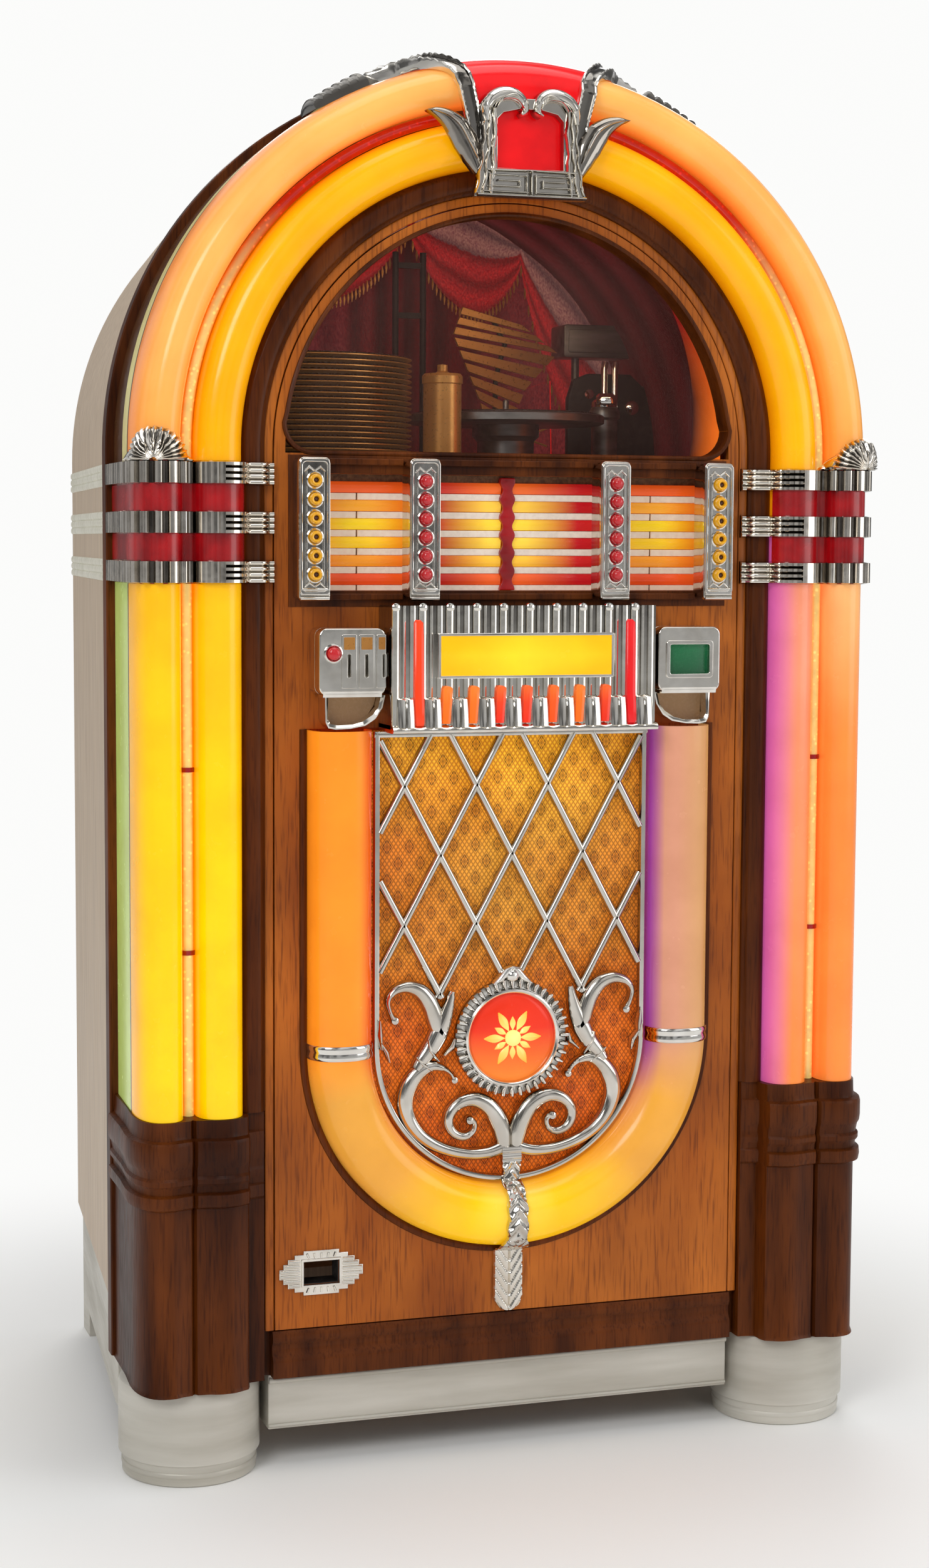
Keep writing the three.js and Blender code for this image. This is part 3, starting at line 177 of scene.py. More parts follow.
def disc_grooves(tree, place, color):
    """Fine turned lines across a disc's edge and face."""
    sockets = {"Vector": place, "Scale": 260, "Distortion": 0.4}
    return color, add(tree, "TexWave", sockets, wave_type="BANDS", bands_direction="Z").outputs["Fac"]


# Finishes
def material(
    name, low, high, scale=40, stretch=(1, 1, 1), rough=(0.3, 0.4), metal=0.0, bump=0.0, emit=0.0, coat=0.0,
    tint=False, alpha=1.0, fine=300, pattern=None, detail=6, specular=0.5,
):
    """A procedural finish: a stretched noise between two colours, a fine noise for roughness, and a bump."""
    made = bpy.data.materials.new(name)
    made.use_nodes = True
    tree = made.node_tree
    place = add(tree, "TexCoord").outputs["Object"]
    grain = stretched(tree, place, stretch)
    height = noise(tree, grain, scale, detail)
    color = ramp(tree, height, (0.35, low), (0.65, high))
    if pattern:
        color, height = pattern(tree, place, color)
    # The tint attribute carries the colours that piece() gives. For the chrome, the lit plastics and the
    # cloth these include painted shade and painted highlights.
    if tint:
        color = times(tree, color, add(tree, "Attribute", attribute_name="tint").outputs["Color"])
    sockets = {
        "Base Color": color, "Roughness": spread(tree, noise(tree, grain, fine, 3), 0.3, 0.7, *rough),
        "Metallic": metal, "Specular IOR Level": specular, "Coat Weight": coat, "Coat Roughness": 0.08,
        "Alpha": alpha,
    }
    if bump:
        sockets["Normal"] = add(tree, "Bump", {"Strength": bump, "Distance": MM, "Height": height}).outputs[0]
    if emit:
        sockets |= {"Emission Strength": emit, "Emission Color": color}
    fill(tree, tree.nodes["Principled BSDF"], sockets)
    return made


FINISHES = {
    "walnut": dict(
        low=srgb(60, 24, 2), high=srgb(110, 55, 14), scale=22, stretch=(1, 1, 0.1), rough=(0.34, 0.5),
        bump=0.12, coat=0.05, pattern=pores, detail=8, specular=0.14,
    ),
    "light_walnut": dict(
        low=srgb(156, 78, 12), high=srgb(198, 112, 34), scale=9, stretch=(1, 1, 0.3), rough=(0.34, 0.5),
        bump=0.1, coat=0.06, pattern=pores, detail=9, specular=0.25,
    ),
    "taupe": dict(
        low=srgb(194, 172, 148), high=srgb(212, 191, 166), scale=320, stretch=(1, 0.5, 0.03),
        rough=(0.42, 0.55), bump=0.05, detail=3,
    ),
    "cream": dict(low=srgb(224, 220, 200), high=srgb(240, 236, 220), scale=60, rough=(0.35, 0.5), bump=0.05),
    "chrome": dict(
        low=(0.74, 0.71, 0.66), high=(0.88, 0.86, 0.82), scale=34, rough=(0.06, 0.15), metal=1.0, bump=0.16,
        tint=True, fine=70, detail=2,
    ),
    "aluminium": dict(
        low=srgb(186, 181, 169), high=srgb(212, 208, 198), scale=30, stretch=(0.12, 0.12, 1),
        rough=(0.38, 0.55), metal=0.35, bump=0.08, fine=180,
    ),
    "steel": dict(
        low=srgb(110, 108, 104), high=srgb(150, 147, 142), scale=60, stretch=(0.2, 1, 1), rough=(0.3, 0.5),
        metal=0.85, bump=0.06,
    ),
    # The faint emission is a painted glow: the trays, carrier, stripes, fringe and tags are no lamps.
    "gold": dict(
        low=srgb(176, 116, 52), high=srgb(206, 146, 76), scale=9, rough=(0.26, 0.34), metal=0.6, bump=0.01,
        emit=0.05,
    ),
    "lit": dict(
        low=(0.9, 0.87, 0.84), high=WHITE, scale=14, rough=(0.18, 0.28), emit=0.33, coat=0.2, tint=True,
        bump=0.02, fine=60, specular=0.3,
    ),
    "lit_red": dict(
        low=srgb(214, 8, 16), high=srgb(240, 14, 20), scale=20, rough=(0.15, 0.25), emit=0.34, coat=0.2,
        bump=0.02, fine=60, specular=0.3,
    ),
    "ruby": dict(
        low=srgb(132, 4, 12), high=srgb(176, 12, 20), scale=30, rough=(0.2, 0.3), emit=0.1, coat=0.3,
        bump=0.01, fine=20,
    ),
    "tube": dict(
        low=(0.86, 0.86, 0.86), high=WHITE, scale=80, rough=(0.1, 0.18), emit=0.36, coat=0.4, tint=True,
        pattern=bubbles,
    ),
    "glass": dict(
        low=srgb(120, 90, 80), high=srgb(160, 130, 120), scale=4, rough=(0.02, 0.05), alpha=0.05, coat=0.15,
    ),
    # The emission is a painted glow: the grille cloth is no lamp.
    "brocade": dict(
        low=srgb(240, 172, 60), high=srgb(255, 206, 90), scale=9, rough=(0.6, 0.8), bump=0.5, tint=True,
        pattern=diamond_weave, emit=0.3,
    ),
    "vinyl": dict(
        low=srgb(20, 18, 16), high=srgb(42, 36, 30), scale=90, rough=(0.2, 0.35), bump=0.5,
        pattern=disc_grooves, coat=0.3,
    ),
    "glow": dict(
        low=(0.92, 0.9, 0.88), high=WHITE, scale=12, rough=(0.3, 0.5), emit=1.0, tint=True, fine=60,
    ),
    "lamp": dict(low=srgb(255, 214, 170), high=srgb(255, 226, 190), scale=20, emit=9.0),
    "black": dict(low=srgb(18, 16, 15), high=srgb(40, 36, 33), scale=120, rough=(0.4, 0.6), bump=0.1),
    # The emission is a painted glow: the curtain, swags and dome lining are no lamps.
    "curtain": dict(
        low=srgb(130, 14, 22), high=srgb(176, 30, 34), scale=500, stretch=(1, 1, 0.5), rough=(0.6, 0.8),
        bump=0.3, emit=0.4, tint=True,
    ),
    "board": dict(
        low=srgb(86, 58, 36), high=srgb(124, 88, 56), scale=260, rough=(0.6, 0.85), bump=0.3, detail=8,
    ),
    # The faint emission is a painted glow: the keys, display glass and scoop linings are no lamps.
    "enamel": dict(
        low=(0.93, 0.93, 0.93), high=WHITE, rough=(0.2, 0.32), tint=True, coat=0.5, bump=0.03, emit=0.12,
    ),
    "paper": dict(
        low=(0.88, 0.88, 0.88), high=WHITE, scale=220, rough=(0.5, 0.7), tint=True, bump=0.08, emit=0.25,
    ),
}
MATERIALS = {name: material(name, **looks) for name, looks in FINISHES.items()}


# Shapes, each a list of points and a list of faces
def joined(*shapes):
    points, faces = [], []
    for more_points, more_faces in shapes:
        start = len(points)
        points += more_points
        faces += [tuple(start + i for i in face) for face in more_faces]
    return points, faces


def block(x0, x1, y0, y1, z0, z1):
    points = [(x, y, z) for x in (x0, x1) for y in (y0, y1) for z in (z0, z1)]
    return points, [(0, 1, 3, 2), (4, 6, 7, 5), (0, 4, 5, 1), (2, 3, 7, 6), (0, 2, 6, 4), (1, 5, 7, 3)]


def skin(rings, close_across=True, close_along=False):
    size, count = len(rings[0]), len(rings)
    points = [tuple(point) for ring in rings for point in ring]
    faces = []
    for i in range(count if close_along else count - 1):
        for j in range(size if close_across else size - 1):
            a, b = i * size, ((i + 1) % count) * size
            k = (j + 1) % size
            faces.append((a + j, a + k, b + k, b + j))
    if close_across and not close_along:
        faces.append(tuple(range(size))[::-1])
        faces.append(tuple((count - 1) * size + j for j in range(size)))
    return points, faces


def sweep(profile, stations, **how):
    """A profile of radius and y, carried along stations of x, z and a direction in x and z."""
    return skin([[(x + r * dx, y, z + r * dz) for r, y in profile] for x, z, dx, dz in stations], **how)


def arc_stations(centre_z, start, end, steps):
    angles = [math.radians(start + (end - start) * i / steps) for i in range(steps + 1)]
    return [(0, centre_z, math.cos(a), math.sin(a)) for a in angles]


def straight(side, z0, z1, steps=1):
    return [(0, z0 + (z1 - z0) * i / steps, side, 0) for i in range(steps + 1)]


def arch_stations(bottom):
    left = straight(-1, bottom, ARCH_Z, 6)[:-1]
    right = straight(1, ARCH_Z, bottom, 6)[1:]
    return left + arc_stations(ARCH_Z, 180, 0, 88) + right


def u_stations(top, steps=64, rows=12):
    left = straight(-1, top, GRILLE_Z, rows)[:-1]
    right = straight(1, GRILLE_Z, top, rows)[1:]
    return left + arc_stations(GRILLE_Z, 180, 360, steps) + right


def circle(radius, steps, x, z):
    angles = [TAU * i / steps for i in range(steps)]
    return [(x + radius * math.cos(a), z + radius * math.sin(a)) for a in angles]


def turned(profile, steps, x, y):
    """Profile points are radius and height; the axis is vertical."""
    return skin([[(px, py, z) for px, py in circle(max(r, 0.01), steps, x, y)] for r, z in profile])


def turned_y(profile, steps, x, z):
    """Profile points are radius and y; the axis runs to the back."""
    return skin([[(px, y, pz) for px, pz in circle(max(r, 0.01), steps, x, z)] for r, y in profile])


def open_ended(shape):
    """The turned shape without the two discs that close it."""
    return shape[0], [face for face in shape[1] if len(face) == 4]


def drawn(section, *xs):
    """A section of y and z, drawn along x."""
    return skin([[(x, y, z) for y, z in section] for x in xs])


def wrapped(rings):
    """Open rings joined into a loop that both of its ends close."""
    size = len(rings[0])
    points, faces = skin(rings, close_across=False, close_along=True)
    return points, faces + [tuple(i * size + k for i in range(len(rings))) for k in (0, size - 1)]


def tube(path, radius, sides):
    """A round bar along points, of one radius or of one for each point."""
    points = [Vector(p) for p in path]
    rings = []
    side = None
    for i, point in enumerate(points):
        before = points[max(i - 1, 0)]
        after = points[min(i + 1, len(points) - 1)]
        ahead = (after - before).normalized()
        if side is None:
            up = Vector((0, 1, 0)) if abs(ahead.y) < 0.9 else Vector((1, 0, 0))
            side = ahead.cross(up).normalized()
        side = (side - ahead * side.dot(ahead)).normalized()
        other = ahead.cross(side)
        width = radius[i] if isinstance(radius, (list, tuple)) else radius
        rings.append([tuple(point + side * width * math.cos(angle) + other * width * math.sin(angle))
                      for angle in (TAU * j / sides for j in range(sides))])
    return skin(rings)


def stroke(path, widths, front, back, crown=0.45):
    """A cast ornament bar in x and z, with a raised middle, from its front depth to its back depth."""
    rings = []
    for i, (x, z) in enumerate(path):
        x0, z0 = path[max(i - 1, 0)]
        x1, z1 = path[min(i + 1, len(path) - 1)]
        length = math.hypot(x1 - x0, z1 - z0) or 1
        nx, nz = -(z1 - z0) / length, (x1 - x0) / length
        width = widths[i] if isinstance(widths, (list, tuple)) else widths
        low = front + (back - front) * crown
        section = [(-1, back), (-1, low), (-0.72, front + (low - front) * 0.3), (-0.25, front),
                   (0.25, front), (0.72, front + (low - front) * 0.3), (1, low), (1, back)]
        rings.append([(x + nx * width / 2 * s, y, z + nz * width / 2 * s) for s, y in section])
    return skin(rings)


def rectangle(x0, x1, z0, z1, round_by=0.0, steps=4):
    if not round_by:
        return [(x0, z0), (x1, z0), (x1, z1), (x0, z1)]
    points = []
    corners = [(x1 - round_by, z0 + round_by, -90), (x1 - round_by, z1 - round_by, 0),
               (x0 + round_by, z1 - round_by, 90), (x0 + round_by, z0 + round_by, 180)]
    for cx, cz, start in corners:
        for i in range(steps + 1):
            angle = math.radians(start + 90 * i / steps)
            points.append((cx + round_by * math.cos(angle), cz + round_by * math.sin(angle)))
    return points


def arch_outline(radius, bottom):
    points = [(-radius, bottom), (radius, bottom)]
    for i in range(89):
        angle = math.pi * i / 88
        points.append((radius * math.cos(angle), ARCH_Z + radius * math.sin(angle)))
    return points


def u_outline(radius, top):
    points = [(radius, top), (-radius, top)]
    for i in range(65):
        angle = math.pi + math.pi * i / 64
        points.append((radius * math.cos(angle), GRILLE_Z + radius * math.sin(angle)))
    return points


def plate(outlines, front, back, edge=0.0):
    """A plate in x and z with holes: the first outline is its edge, the others are holes."""
    curve = bpy.data.curves.new("outline", "CURVE")
    curve.dimensions = "2D"
    curve.fill_mode = "BOTH"
    curve.extrude = (back - front) / 2 - edge
    curve.bevel_depth = edge
    curve.bevel_resolution = 2
    curve.offset = -edge
    for outline in outlines:
        spline = curve.splines.new("POLY")
        spline.points.add(len(outline) - 1)
        for point, (x, z) in zip(spline.points, outline):
            point.co = (x, z, 0, 1)
        spline.use_cyclic_u = True
    holder = linked("outline", curve)
    bpy.context.view_layer.update()
    mesh = bpy.data.meshes.new_from_object(holder.evaluated_get(bpy.context.evaluated_depsgraph_get()))
    middle = (front + back) / 2
    points = [(v.co.x, middle - v.co.z, v.co.y) for v in mesh.vertices]
    faces = [tuple(p.vertices) for p in mesh.polygons]
    bpy.data.objects.remove(holder)
    bpy.data.curves.remove(curve)
    bpy.data.meshes.remove(mesh)
    return points, faces


def slab(outlines, bottom, top, edge=0.0):
    """A plate lying flat, its outlines in x and y."""
    points, faces = plate(outlines, -top, -bottom, edge)
    return [(x, z, -y) for x, y, z in points], faces


def mirrored(shape):
    return [(-x, y, z) for x, y, z in shape[0]], [tuple(reversed(face)) for face in shape[1]]


def both(*shapes):
    """Each shape with its mirror image."""
    return [part for shape in shapes for part in (shape, mirrored(shape))]


def piece(
    name, shape, finish, body="cabinet", slot=None, stands_for=(), tint=WHITE, bevel=0.0, sharp=40, weld=True,
):
    """A finished object on a body; its tint is one colour, a list of them or a function of the place."""
    points, faces = shape
    mesh = bpy.data.meshes.new(name)
    mesh.from_pydata([(x * MM, (y - MIDDLE_Y) * MM, z * MM) for x, y, z in points], [], faces)
    if "tint" in FINISHES[finish]:
        layer = mesh.color_attributes.new("tint", "FLOAT_COLOR", "POINT")
        colours = tint if isinstance(tint, list) else [tint(*p) if callable(tint) else tint for p in points]
        for entry, colour in zip(layer.data, colours):
            entry.color = (*colour, 1)
    tidy = bmesh.new()
    tidy.from_mesh(mesh)
    if weld:
        bmesh.ops.remove_doubles(tidy, verts=tidy.verts, dist=2e-6)
    bmesh.ops.recalc_face_normals(tidy, faces=tidy.faces)
    tidy.to_mesh(mesh)
    tidy.free()
    mesh.shade_smooth()
    mesh.set_sharp_from_angle(angle=math.radians(sharp))
    made = linked(name, mesh)
    mesh.materials.append(MATERIALS[finish])
    if bevel:
        soften = made.modifiers.new("edges", "BEVEL")
        soften.width = bevel * MM
        soften.segments = 2
        soften.limit_method = "ANGLE"
        soften.angle_limit = math.radians(35)
        soften.harden_normals = False
    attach(made, body)
    if stands_for:
        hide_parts(*stands_for)
    return made



# Sections shared by the lit plastics, the bases and the shoulder castings
INNER_START, INNER_END = 302.3, 353.0
OUTER_START, OUTER_END, OUTER_CREST = 367.0, 415.0, 388.0
INNER_CREST = (INNER_START + INNER_END) / 2
LOBE_FRONT, INNER_FRONT, WIDEST_Y = -33.0, -32.0, 22.0
SEAT_Y, BAND_FRONT_Y, GROOVE_Y = 14.0, 129.0, 5.0
PLASTIC = 4.0
SEAT_GAP = 0.3
SHELL_BACK, SHELL_END = SEAT_Y - SEAT_GAP, BAND_FRONT_Y - SEAT_GAP
STRIP_FRONT, STRIP_BACK = 37, 69
STRIP_DEPTHS = (30, 32, 36, 38, 68, 70, 90)
SQUARE_ROUND = 2 / 2.4
COLUMN_BOTTOM = 401.0
ARCH_BOTTOM = 1093 - 51.3 - 12.5
BAND_TOPS = (1093.0, 1041.7, 990.4)
BAND_HEIGHT = 25.0


def oval_quarter(crest, half, wall, rise, start, end, steps=10):
    points = []
    for i in range(steps + 1):
        angle = (start + (end - start) * i / steps) * math.pi / 2
        across = math.copysign(abs(math.cos(angle)) ** SQUARE_ROUND, math.cos(angle))
        points.append((crest - half * across, wall - rise * abs(math.sin(angle)) ** SQUARE_ROUND))
    return points


def inner_lobe(outward=0.0):
    half = (INNER_END - INNER_START) / 2 + outward
    rise = outward - INNER_FRONT
    return oval_quarter(INNER_CREST, half, 0, rise, 0, 1) + oval_quarter(INNER_CREST, half, 0, rise, 1, 2)[1:]


def outer_lobe(outward=0.0):
    groove = OUTER_CREST - OUTER_START + outward
    side = OUTER_END - OUTER_CREST + outward
    rise = outward - LOBE_FRONT
    front = oval_quarter(OUTER_CREST, groove, 0, rise, 0, 1)
    return front + oval_quarter(OUTER_CREST, side, WIDEST_Y, rise + WIDEST_Y, 1, 2)[1:]


def outer_side(outward, *depths):
    return [(OUTER_END - 3.5 * (y - WIDEST_Y) / (BAND_FRONT_Y - WIDEST_Y) + outward, y) for y in depths]


def inner_wall():
    """The inside of the inner shell's lobe, from its back edge round to its start."""
    return ([(INNER_END - PLASTIC, SHELL_BACK)] + inner_lobe(-PLASTIC)[::-1]
            + [(INNER_START + PLASTIC, SHELL_BACK)])


def inner_shell():
    return [(INNER_START, SHELL_BACK)] + inner_lobe() + [(INNER_END, SHELL_BACK)] + inner_wall()


def outer_wall():
    """The outer shell's side to the cabinet band and back, then the inside of its lobe."""
    out = outer_side(0, *STRIP_DEPTHS, SHELL_END) + outer_side(-PLASTIC, SHELL_END, 60)
    return out + outer_lobe(-PLASTIC)[::-1] + [(OUTER_START + PLASTIC, SHELL_BACK)]


def outer_shell():
    return [(OUTER_START, SHELL_BACK)] + outer_lobe() + outer_wall()


def column_shell():
    return ([(INNER_START, SHELL_BACK)] + inner_lobe()[:-1] + [(INNER_END, GROOVE_Y), (OUTER_START, GROOVE_Y)]
            + outer_lobe()[1:] + outer_wall() + inner_wall())


def radius_at(x, z):
    return math.hypot(x, z - ARCH_Z) if z > ARCH_Z else abs(x)


# PEACH_EDGE, GOLDEN_EDGE and SUN_EDGE are painted shade: the lit plastics' colours darkened for the edges of
# their lobes.
PEACH, PEACH_EDGE = srgb(249, 178, 90), srgb(240, 138, 44)
GOLDEN, GOLDEN_EDGE = srgb(252, 176, 4), srgb(240, 140, 2)
SUN, SUN_EDGE = srgb(255, 208, 0), srgb(252, 160, 4)
PINK, PINK_EDGE = srgb(240, 146, 112), srgb(222, 100, 176)
TANGERINE = srgb(248, 140, 60)
LEAF, CREAM_LEAF, SEAM = srgb(188, 210, 116), srgb(216, 206, 142), srgb(70, 44, 24)


def side_tint(y, z, front):
    """The outer plastic's side: a pale green strip behind a dark seam, and a narrow cream one on the arch."""
    if y < 31:
        return front
    if z > BAND_TOPS[0]:
        return CREAM_LEAF if STRIP_FRONT < y < STRIP_BACK else SEAM
    return SEAM if y < STRIP_FRONT else LEAF


# Painted shade: the lit plastic turns to its darker edge colour towards the edges of its lobe. Below z 1180
# it also turns to that colour towards the bottom.
def outer_tint(centre, edge):
    def tint(x, y, z):
        r = radius_at(x, z)
        near = abs(r - OUTER_CREST) / (27 if r > OUTER_CREST else 21)
        lit = mix(centre, edge, near ** 5)
        return side_tint(y, z, mix(lit, edge, (1180 - z) / 160 if z < 1180 else 0))
    return tint


# Painted shade: the lit plastic turns to its darker edge colour towards the edges of its lobe.
def inner_tint(centre, edge):
    def tint(x, y, z):
        near = abs(radius_at(x, z) - INNER_CREST) / 25.4
        return mix(centre, edge, near ** 7)
    return tint


# Painted shade: each lobe turns to a deeper yellow or orange towards its edges.
def left_column_tint(x, y, z):
    r = abs(x)
    crest = INNER_CREST if r < 360 else OUTER_CREST
    near = abs(r - crest) / 26
    warm = mix(SUN, srgb(253, 186, 20), (z - 700) / 320)
    return side_tint(y, z, mix(warm, srgb(252, 182, 6) if r > OUTER_CREST else SUN_EDGE, near ** 8))


def right_column_tint(x, y, z):
    r = abs(x)
    down = (900 - z) / 500
    if r < 360:
        share = (r - INNER_START) / (INNER_END - INNER_START)
        base = mix(PINK_EDGE, mix(PINK, TANGERINE, down), min(1, share * 2.2))
        return mix(base, TANGERINE, (share - 0.75) * 3)
    # Painted highlight: the outer lobe turns paler towards the top. Painted shade: it darkens towards its
    # edges.
    warm = mix(TANGERINE, srgb(250, 184, 116), (z - 800) / 160)
    return side_tint(y, z, mix(warm, srgb(236, 120, 50), (abs(r - OUTER_CREST) / 26) ** 6))


# Cabinet body: painted walls with floor, rear rim and sill
SHELL_FRONT, SHELL_REAR = 419.0, 382.0
SHELL_FRONT_Y, SHELL_REAR_Y = 150.0, 590.0
SHELL_SLOPE = (SHELL_FRONT - SHELL_REAR) / (SHELL_REAR_Y - SHELL_FRONT_Y)
SHELL_WALL = 16.0


def shell_radius(y):
    return SHELL_FRONT - SHELL_SLOPE * (y - SHELL_FRONT_Y)


def make_cabinet():
    inner_rear = shell_radius(SHELL_REAR_Y - SHELL_WALL) - SHELL_WALL
    section = [(SHELL_FRONT - 1, SHELL_FRONT_Y), (SHELL_FRONT, SHELL_FRONT_Y + 1),
               (SHELL_REAR + 0.4, SHELL_REAR_Y - 2), (SHELL_REAR - 2, SHELL_REAR_Y),
               (336, SHELL_REAR_Y), (336, 574), (inner_rear, 574), (SHELL_FRONT - SHELL_WALL, SHELL_FRONT_Y)]
    walls = sweep(section, arch_stations(165))
    front, rear = 403.0, shell_radius(580) - SHELL_WALL
    floor = slab([[(-front, 150.2), (front, 150.2), (rear, 580), (-rear, 580)]], 165.2, 181)
    sill = block(-370, 370, 574.2, 589.8, 165.2, 213.5)
    washer = turned([(5, 212.5), (5, 214.7)], 16, 5 - 336, 584)
    piece("cabinet_body", joined(walls, floor, sill, washer), "taupe", slot="taupe_side",
          stands_for=("cabinet_shell",))
    for number, top in enumerate(BAND_TOPS, 1):
        section = []
        ridge = 8
        for i in range(3 * ridge + 1):
            z = top - 0.5 - (BAND_HEIGHT - 1) * i / (3 * ridge)
            rise = 0.5 + 1.8 * abs(math.sin(math.pi * i / ridge)) ** 0.5
            section.append((rise, z))
        for side, label in SIDES:
            rings = []
            for step in range(9):
                y = 151 + (588 - 151) * step / 8
                edge = shell_radius(y)
                rings.append([(side * (edge - 1), y, section[0][1])]
                             + [(side * (edge + rise), y, z) for rise, z in section]
                             + [(side * (edge - 1), y, section[-1][1])])
            piece(f"side_stripe_{label}_{number}", skin(rings), "cream", slot="taupe_side", sharp=60)


def make_frame():
    moulding = [(276, 13), (276, -1), (277, -2.2), (279, -3.2), (280.5, -6.5), (283, -8.6), (289, -9),
                (295, -8.8), (297.5, -8), (300, -6), (301.7, -4), (301.7, 14)]
    strip = [(266.5, 0.8), (267.3, 0), (274.6, 0), (275.8, 0.8), (275.8, 13), (266.5, 13)]
    carrier = [(266.5, 13.2), (360, 13.2), (398.5, 70), (398.5, 129), (419.5, 129), (421, 130.5),
               (421, 149.7), (384.5, 149.7), (384.5, 84), (360, 34), (266.5, 34)]
    legs = [sweep(carrier, straight(side, 105, 401.2)) for side in (-1, 1)]
    sides = [sweep(strip, straight(side, 158, 401)) for side in (-1, 1)]
    rail = drawn(((34, 105), (-4, 105), (-4, 122), (-3, 126), (0.5, 131), (1.5, 136), (1.5, 140), (-1, 143),
                  (-2.5, 147), (-2.2, 152), (0, 156.5), (34, 156.5)), -268, 268)
    washer = turned([(5, 155.5), (5, 157.7)], 16, 5 - 265, 12)
    piece("frame_moulding", joined(sweep(moulding, arch_stations(401)), sweep(carrier, arch_stations(401)),
          *legs, rail, washer), "walnut", slot="walnut", stands_for=("front_frame",))
    piece("frame_strip", joined(sweep(strip, arch_stations(401)), *sides), "light_walnut",
          slot="light_walnut")


def make_plastics():
    shells = (("outer", outer_shell(), "peach_plastic", outer_tint(PEACH, PEACH_EDGE)),
              ("inner", inner_shell(), "amber_plastic", inner_tint(GOLDEN, GOLDEN_EDGE)))
    for label, section, slot, tint in shells:
        piece(f"arch_{label}_lit", sweep(section, arch_stations(ARCH_BOTTOM)), "lit", slot=slot,
              stands_for=(f"arch_{label}",), tint=tint)
    columns = zip(SIDES, (("yellow_plastic", left_column_tint), ("magenta_plastic", right_column_tint)))
    for (side, label), (slot, tint) in columns:
        column = sweep(column_shell(), straight(side, COLUMN_BOTTOM, ARCH_BOTTOM - SEAT_GAP, 24))
        piece(f"column_{label}_lit", column, "lit", slot=slot, stands_for=(f"pilaster_{label}",), tint=tint)


TUBE_RADIUS, TUBE_THICKNESS = 360.0, 6.2
TUBE_Y = GROOVE_Y - 0.6 - TUBE_THICKNESS
TUBE_TOP_ANGLE = 77
CLIP_BOTTOMS, CLIP_HEIGHT = (574, 768), 5


def make_tubes():
    dark, bright, pale = srgb(196, 34, 16), srgb(244, 152, 12), srgb(255, 238, 150)

    def tint(x, y, z):
        # Painted highlight: paler along the tube's front.
        glint = mix(bright, pale, (-5 - y) / 2)
        return mix(glint, dark, (z - 1240) / 120)

    clip = []
    for proud, angles in ((1.6, range(180, 361, 15)), (0.3, range(360, 179, -15))):
        reach = TUBE_THICKNESS + proud
        clip += [(TUBE_RADIUS + reach * math.cos(math.radians(a)), TUBE_Y + reach * math.sin(math.radians(a)))
                 for a in angles]
    for side, label in SIDES:
        start, end = (180, 180 - TUBE_TOP_ANGLE) if side < 0 else (0, TUBE_TOP_ANGLE)
        stations = straight(side, COLUMN_BOTTOM, ARCH_Z, 16)[:-1] + arc_stations(ARCH_Z, start, end, 40)
        section = circle(TUBE_THICKNESS, 16, TUBE_RADIUS, TUBE_Y)
        piece(f"bubble_tube_{label}_lit", sweep(section, stations), "tube", slot="bubble_glass",
              stands_for=(f"bubble_tube_{label}",), tint=tint)
        for number, z in enumerate(CLIP_BOTTOMS, 1):
            piece(f"tube_clip_{label}_{number}", sweep(clip, straight(side, z, z + CLIP_HEIGHT)), "ruby",
                  slot="red_plastic")


make_cabinet()
make_frame()
make_plastics()
make_tubes()


# Shoulder castings: three chrome bands over a red sleeve, with a fan on top
def outline_line(outward):
    """Open line over moulding and lobes, from the door side round to the cabinet side, evenly spaced."""
    moulding = [(267, -outward), (276, -outward), (282, -9 - outward), (296, -9 - outward)]
    lobes = inner_lobe(outward)[1:-1] + outer_lobe(outward)[1:]
    kept = [(r, y) for r, y in lobes if y < -11 - outward or r > OUTER_CREST]
    return moulding + kept + outer_side(outward, 60, 90, 125)


def resampled(line, pitch):
    lengths = [0.0]
    for (r0, y0), (r1, y1) in zip(line, line[1:]):
        lengths.append(lengths[-1] + math.hypot(r1 - r0, y1 - y0))
    count = max(2, round(lengths[-1] / pitch))
    points, k = [], 0
    for i in range(count + 1):
        goal = lengths[-1] * i / count
        while k + 2 < len(line) and lengths[k + 1] < goal:
            k += 1
        share = (goal - lengths[k]) / max(lengths[k + 1] - lengths[k], 1e-6)
        points.append((line[k][0] + (line[k + 1][0] - line[k][0]) * share,
                       line[k][1] + (line[k + 1][1] - line[k][1]) * share))
    return points, lengths[-1] / count


def with_normals(points):
    rows = []
    for i, (r, y) in enumerate(points):
        r0, y0 = points[max(i - 1, 0)]
        r1, y1 = points[min(i + 1, len(points) - 1)]
        length = math.hypot(r1 - r0, y1 - y0) or 1
        rows.append((r, y, (y1 - y0) / length, -(r1 - r0) / length))
    return rows


def band_height(r, y, across, along):
    """Thickness of a shoulder band: fingers at the door, a ridge, a block, the groove darkened by painted
    shade, then flutes.
    """
    edge = min(1.0, (1 - abs(2 * across - 1)) * 8) ** 0.5
    if r < 309 and y < 20:
        return edge * (3.5 + 4.0 * abs(math.sin(across * math.pi * 4)) ** 0.5)
    if r < 326 and y < 0:
        return edge * (2.0 + 4.6 * min(1.0, 1.8 * abs(math.sin(across * math.pi * 4))))
    if r < 347 and y < 0:
        return edge * (8.8 if r < 332 else 6.6)
    if r < 368 and y < 0:
        return edge * 3.2
    flute = math.sin(along / 12.5 * math.tau) * 0.5 + 0.5
    return edge * (2.2 + 6.6 * min(1.0, max(0.0, 2.2 * flute - 0.5)))


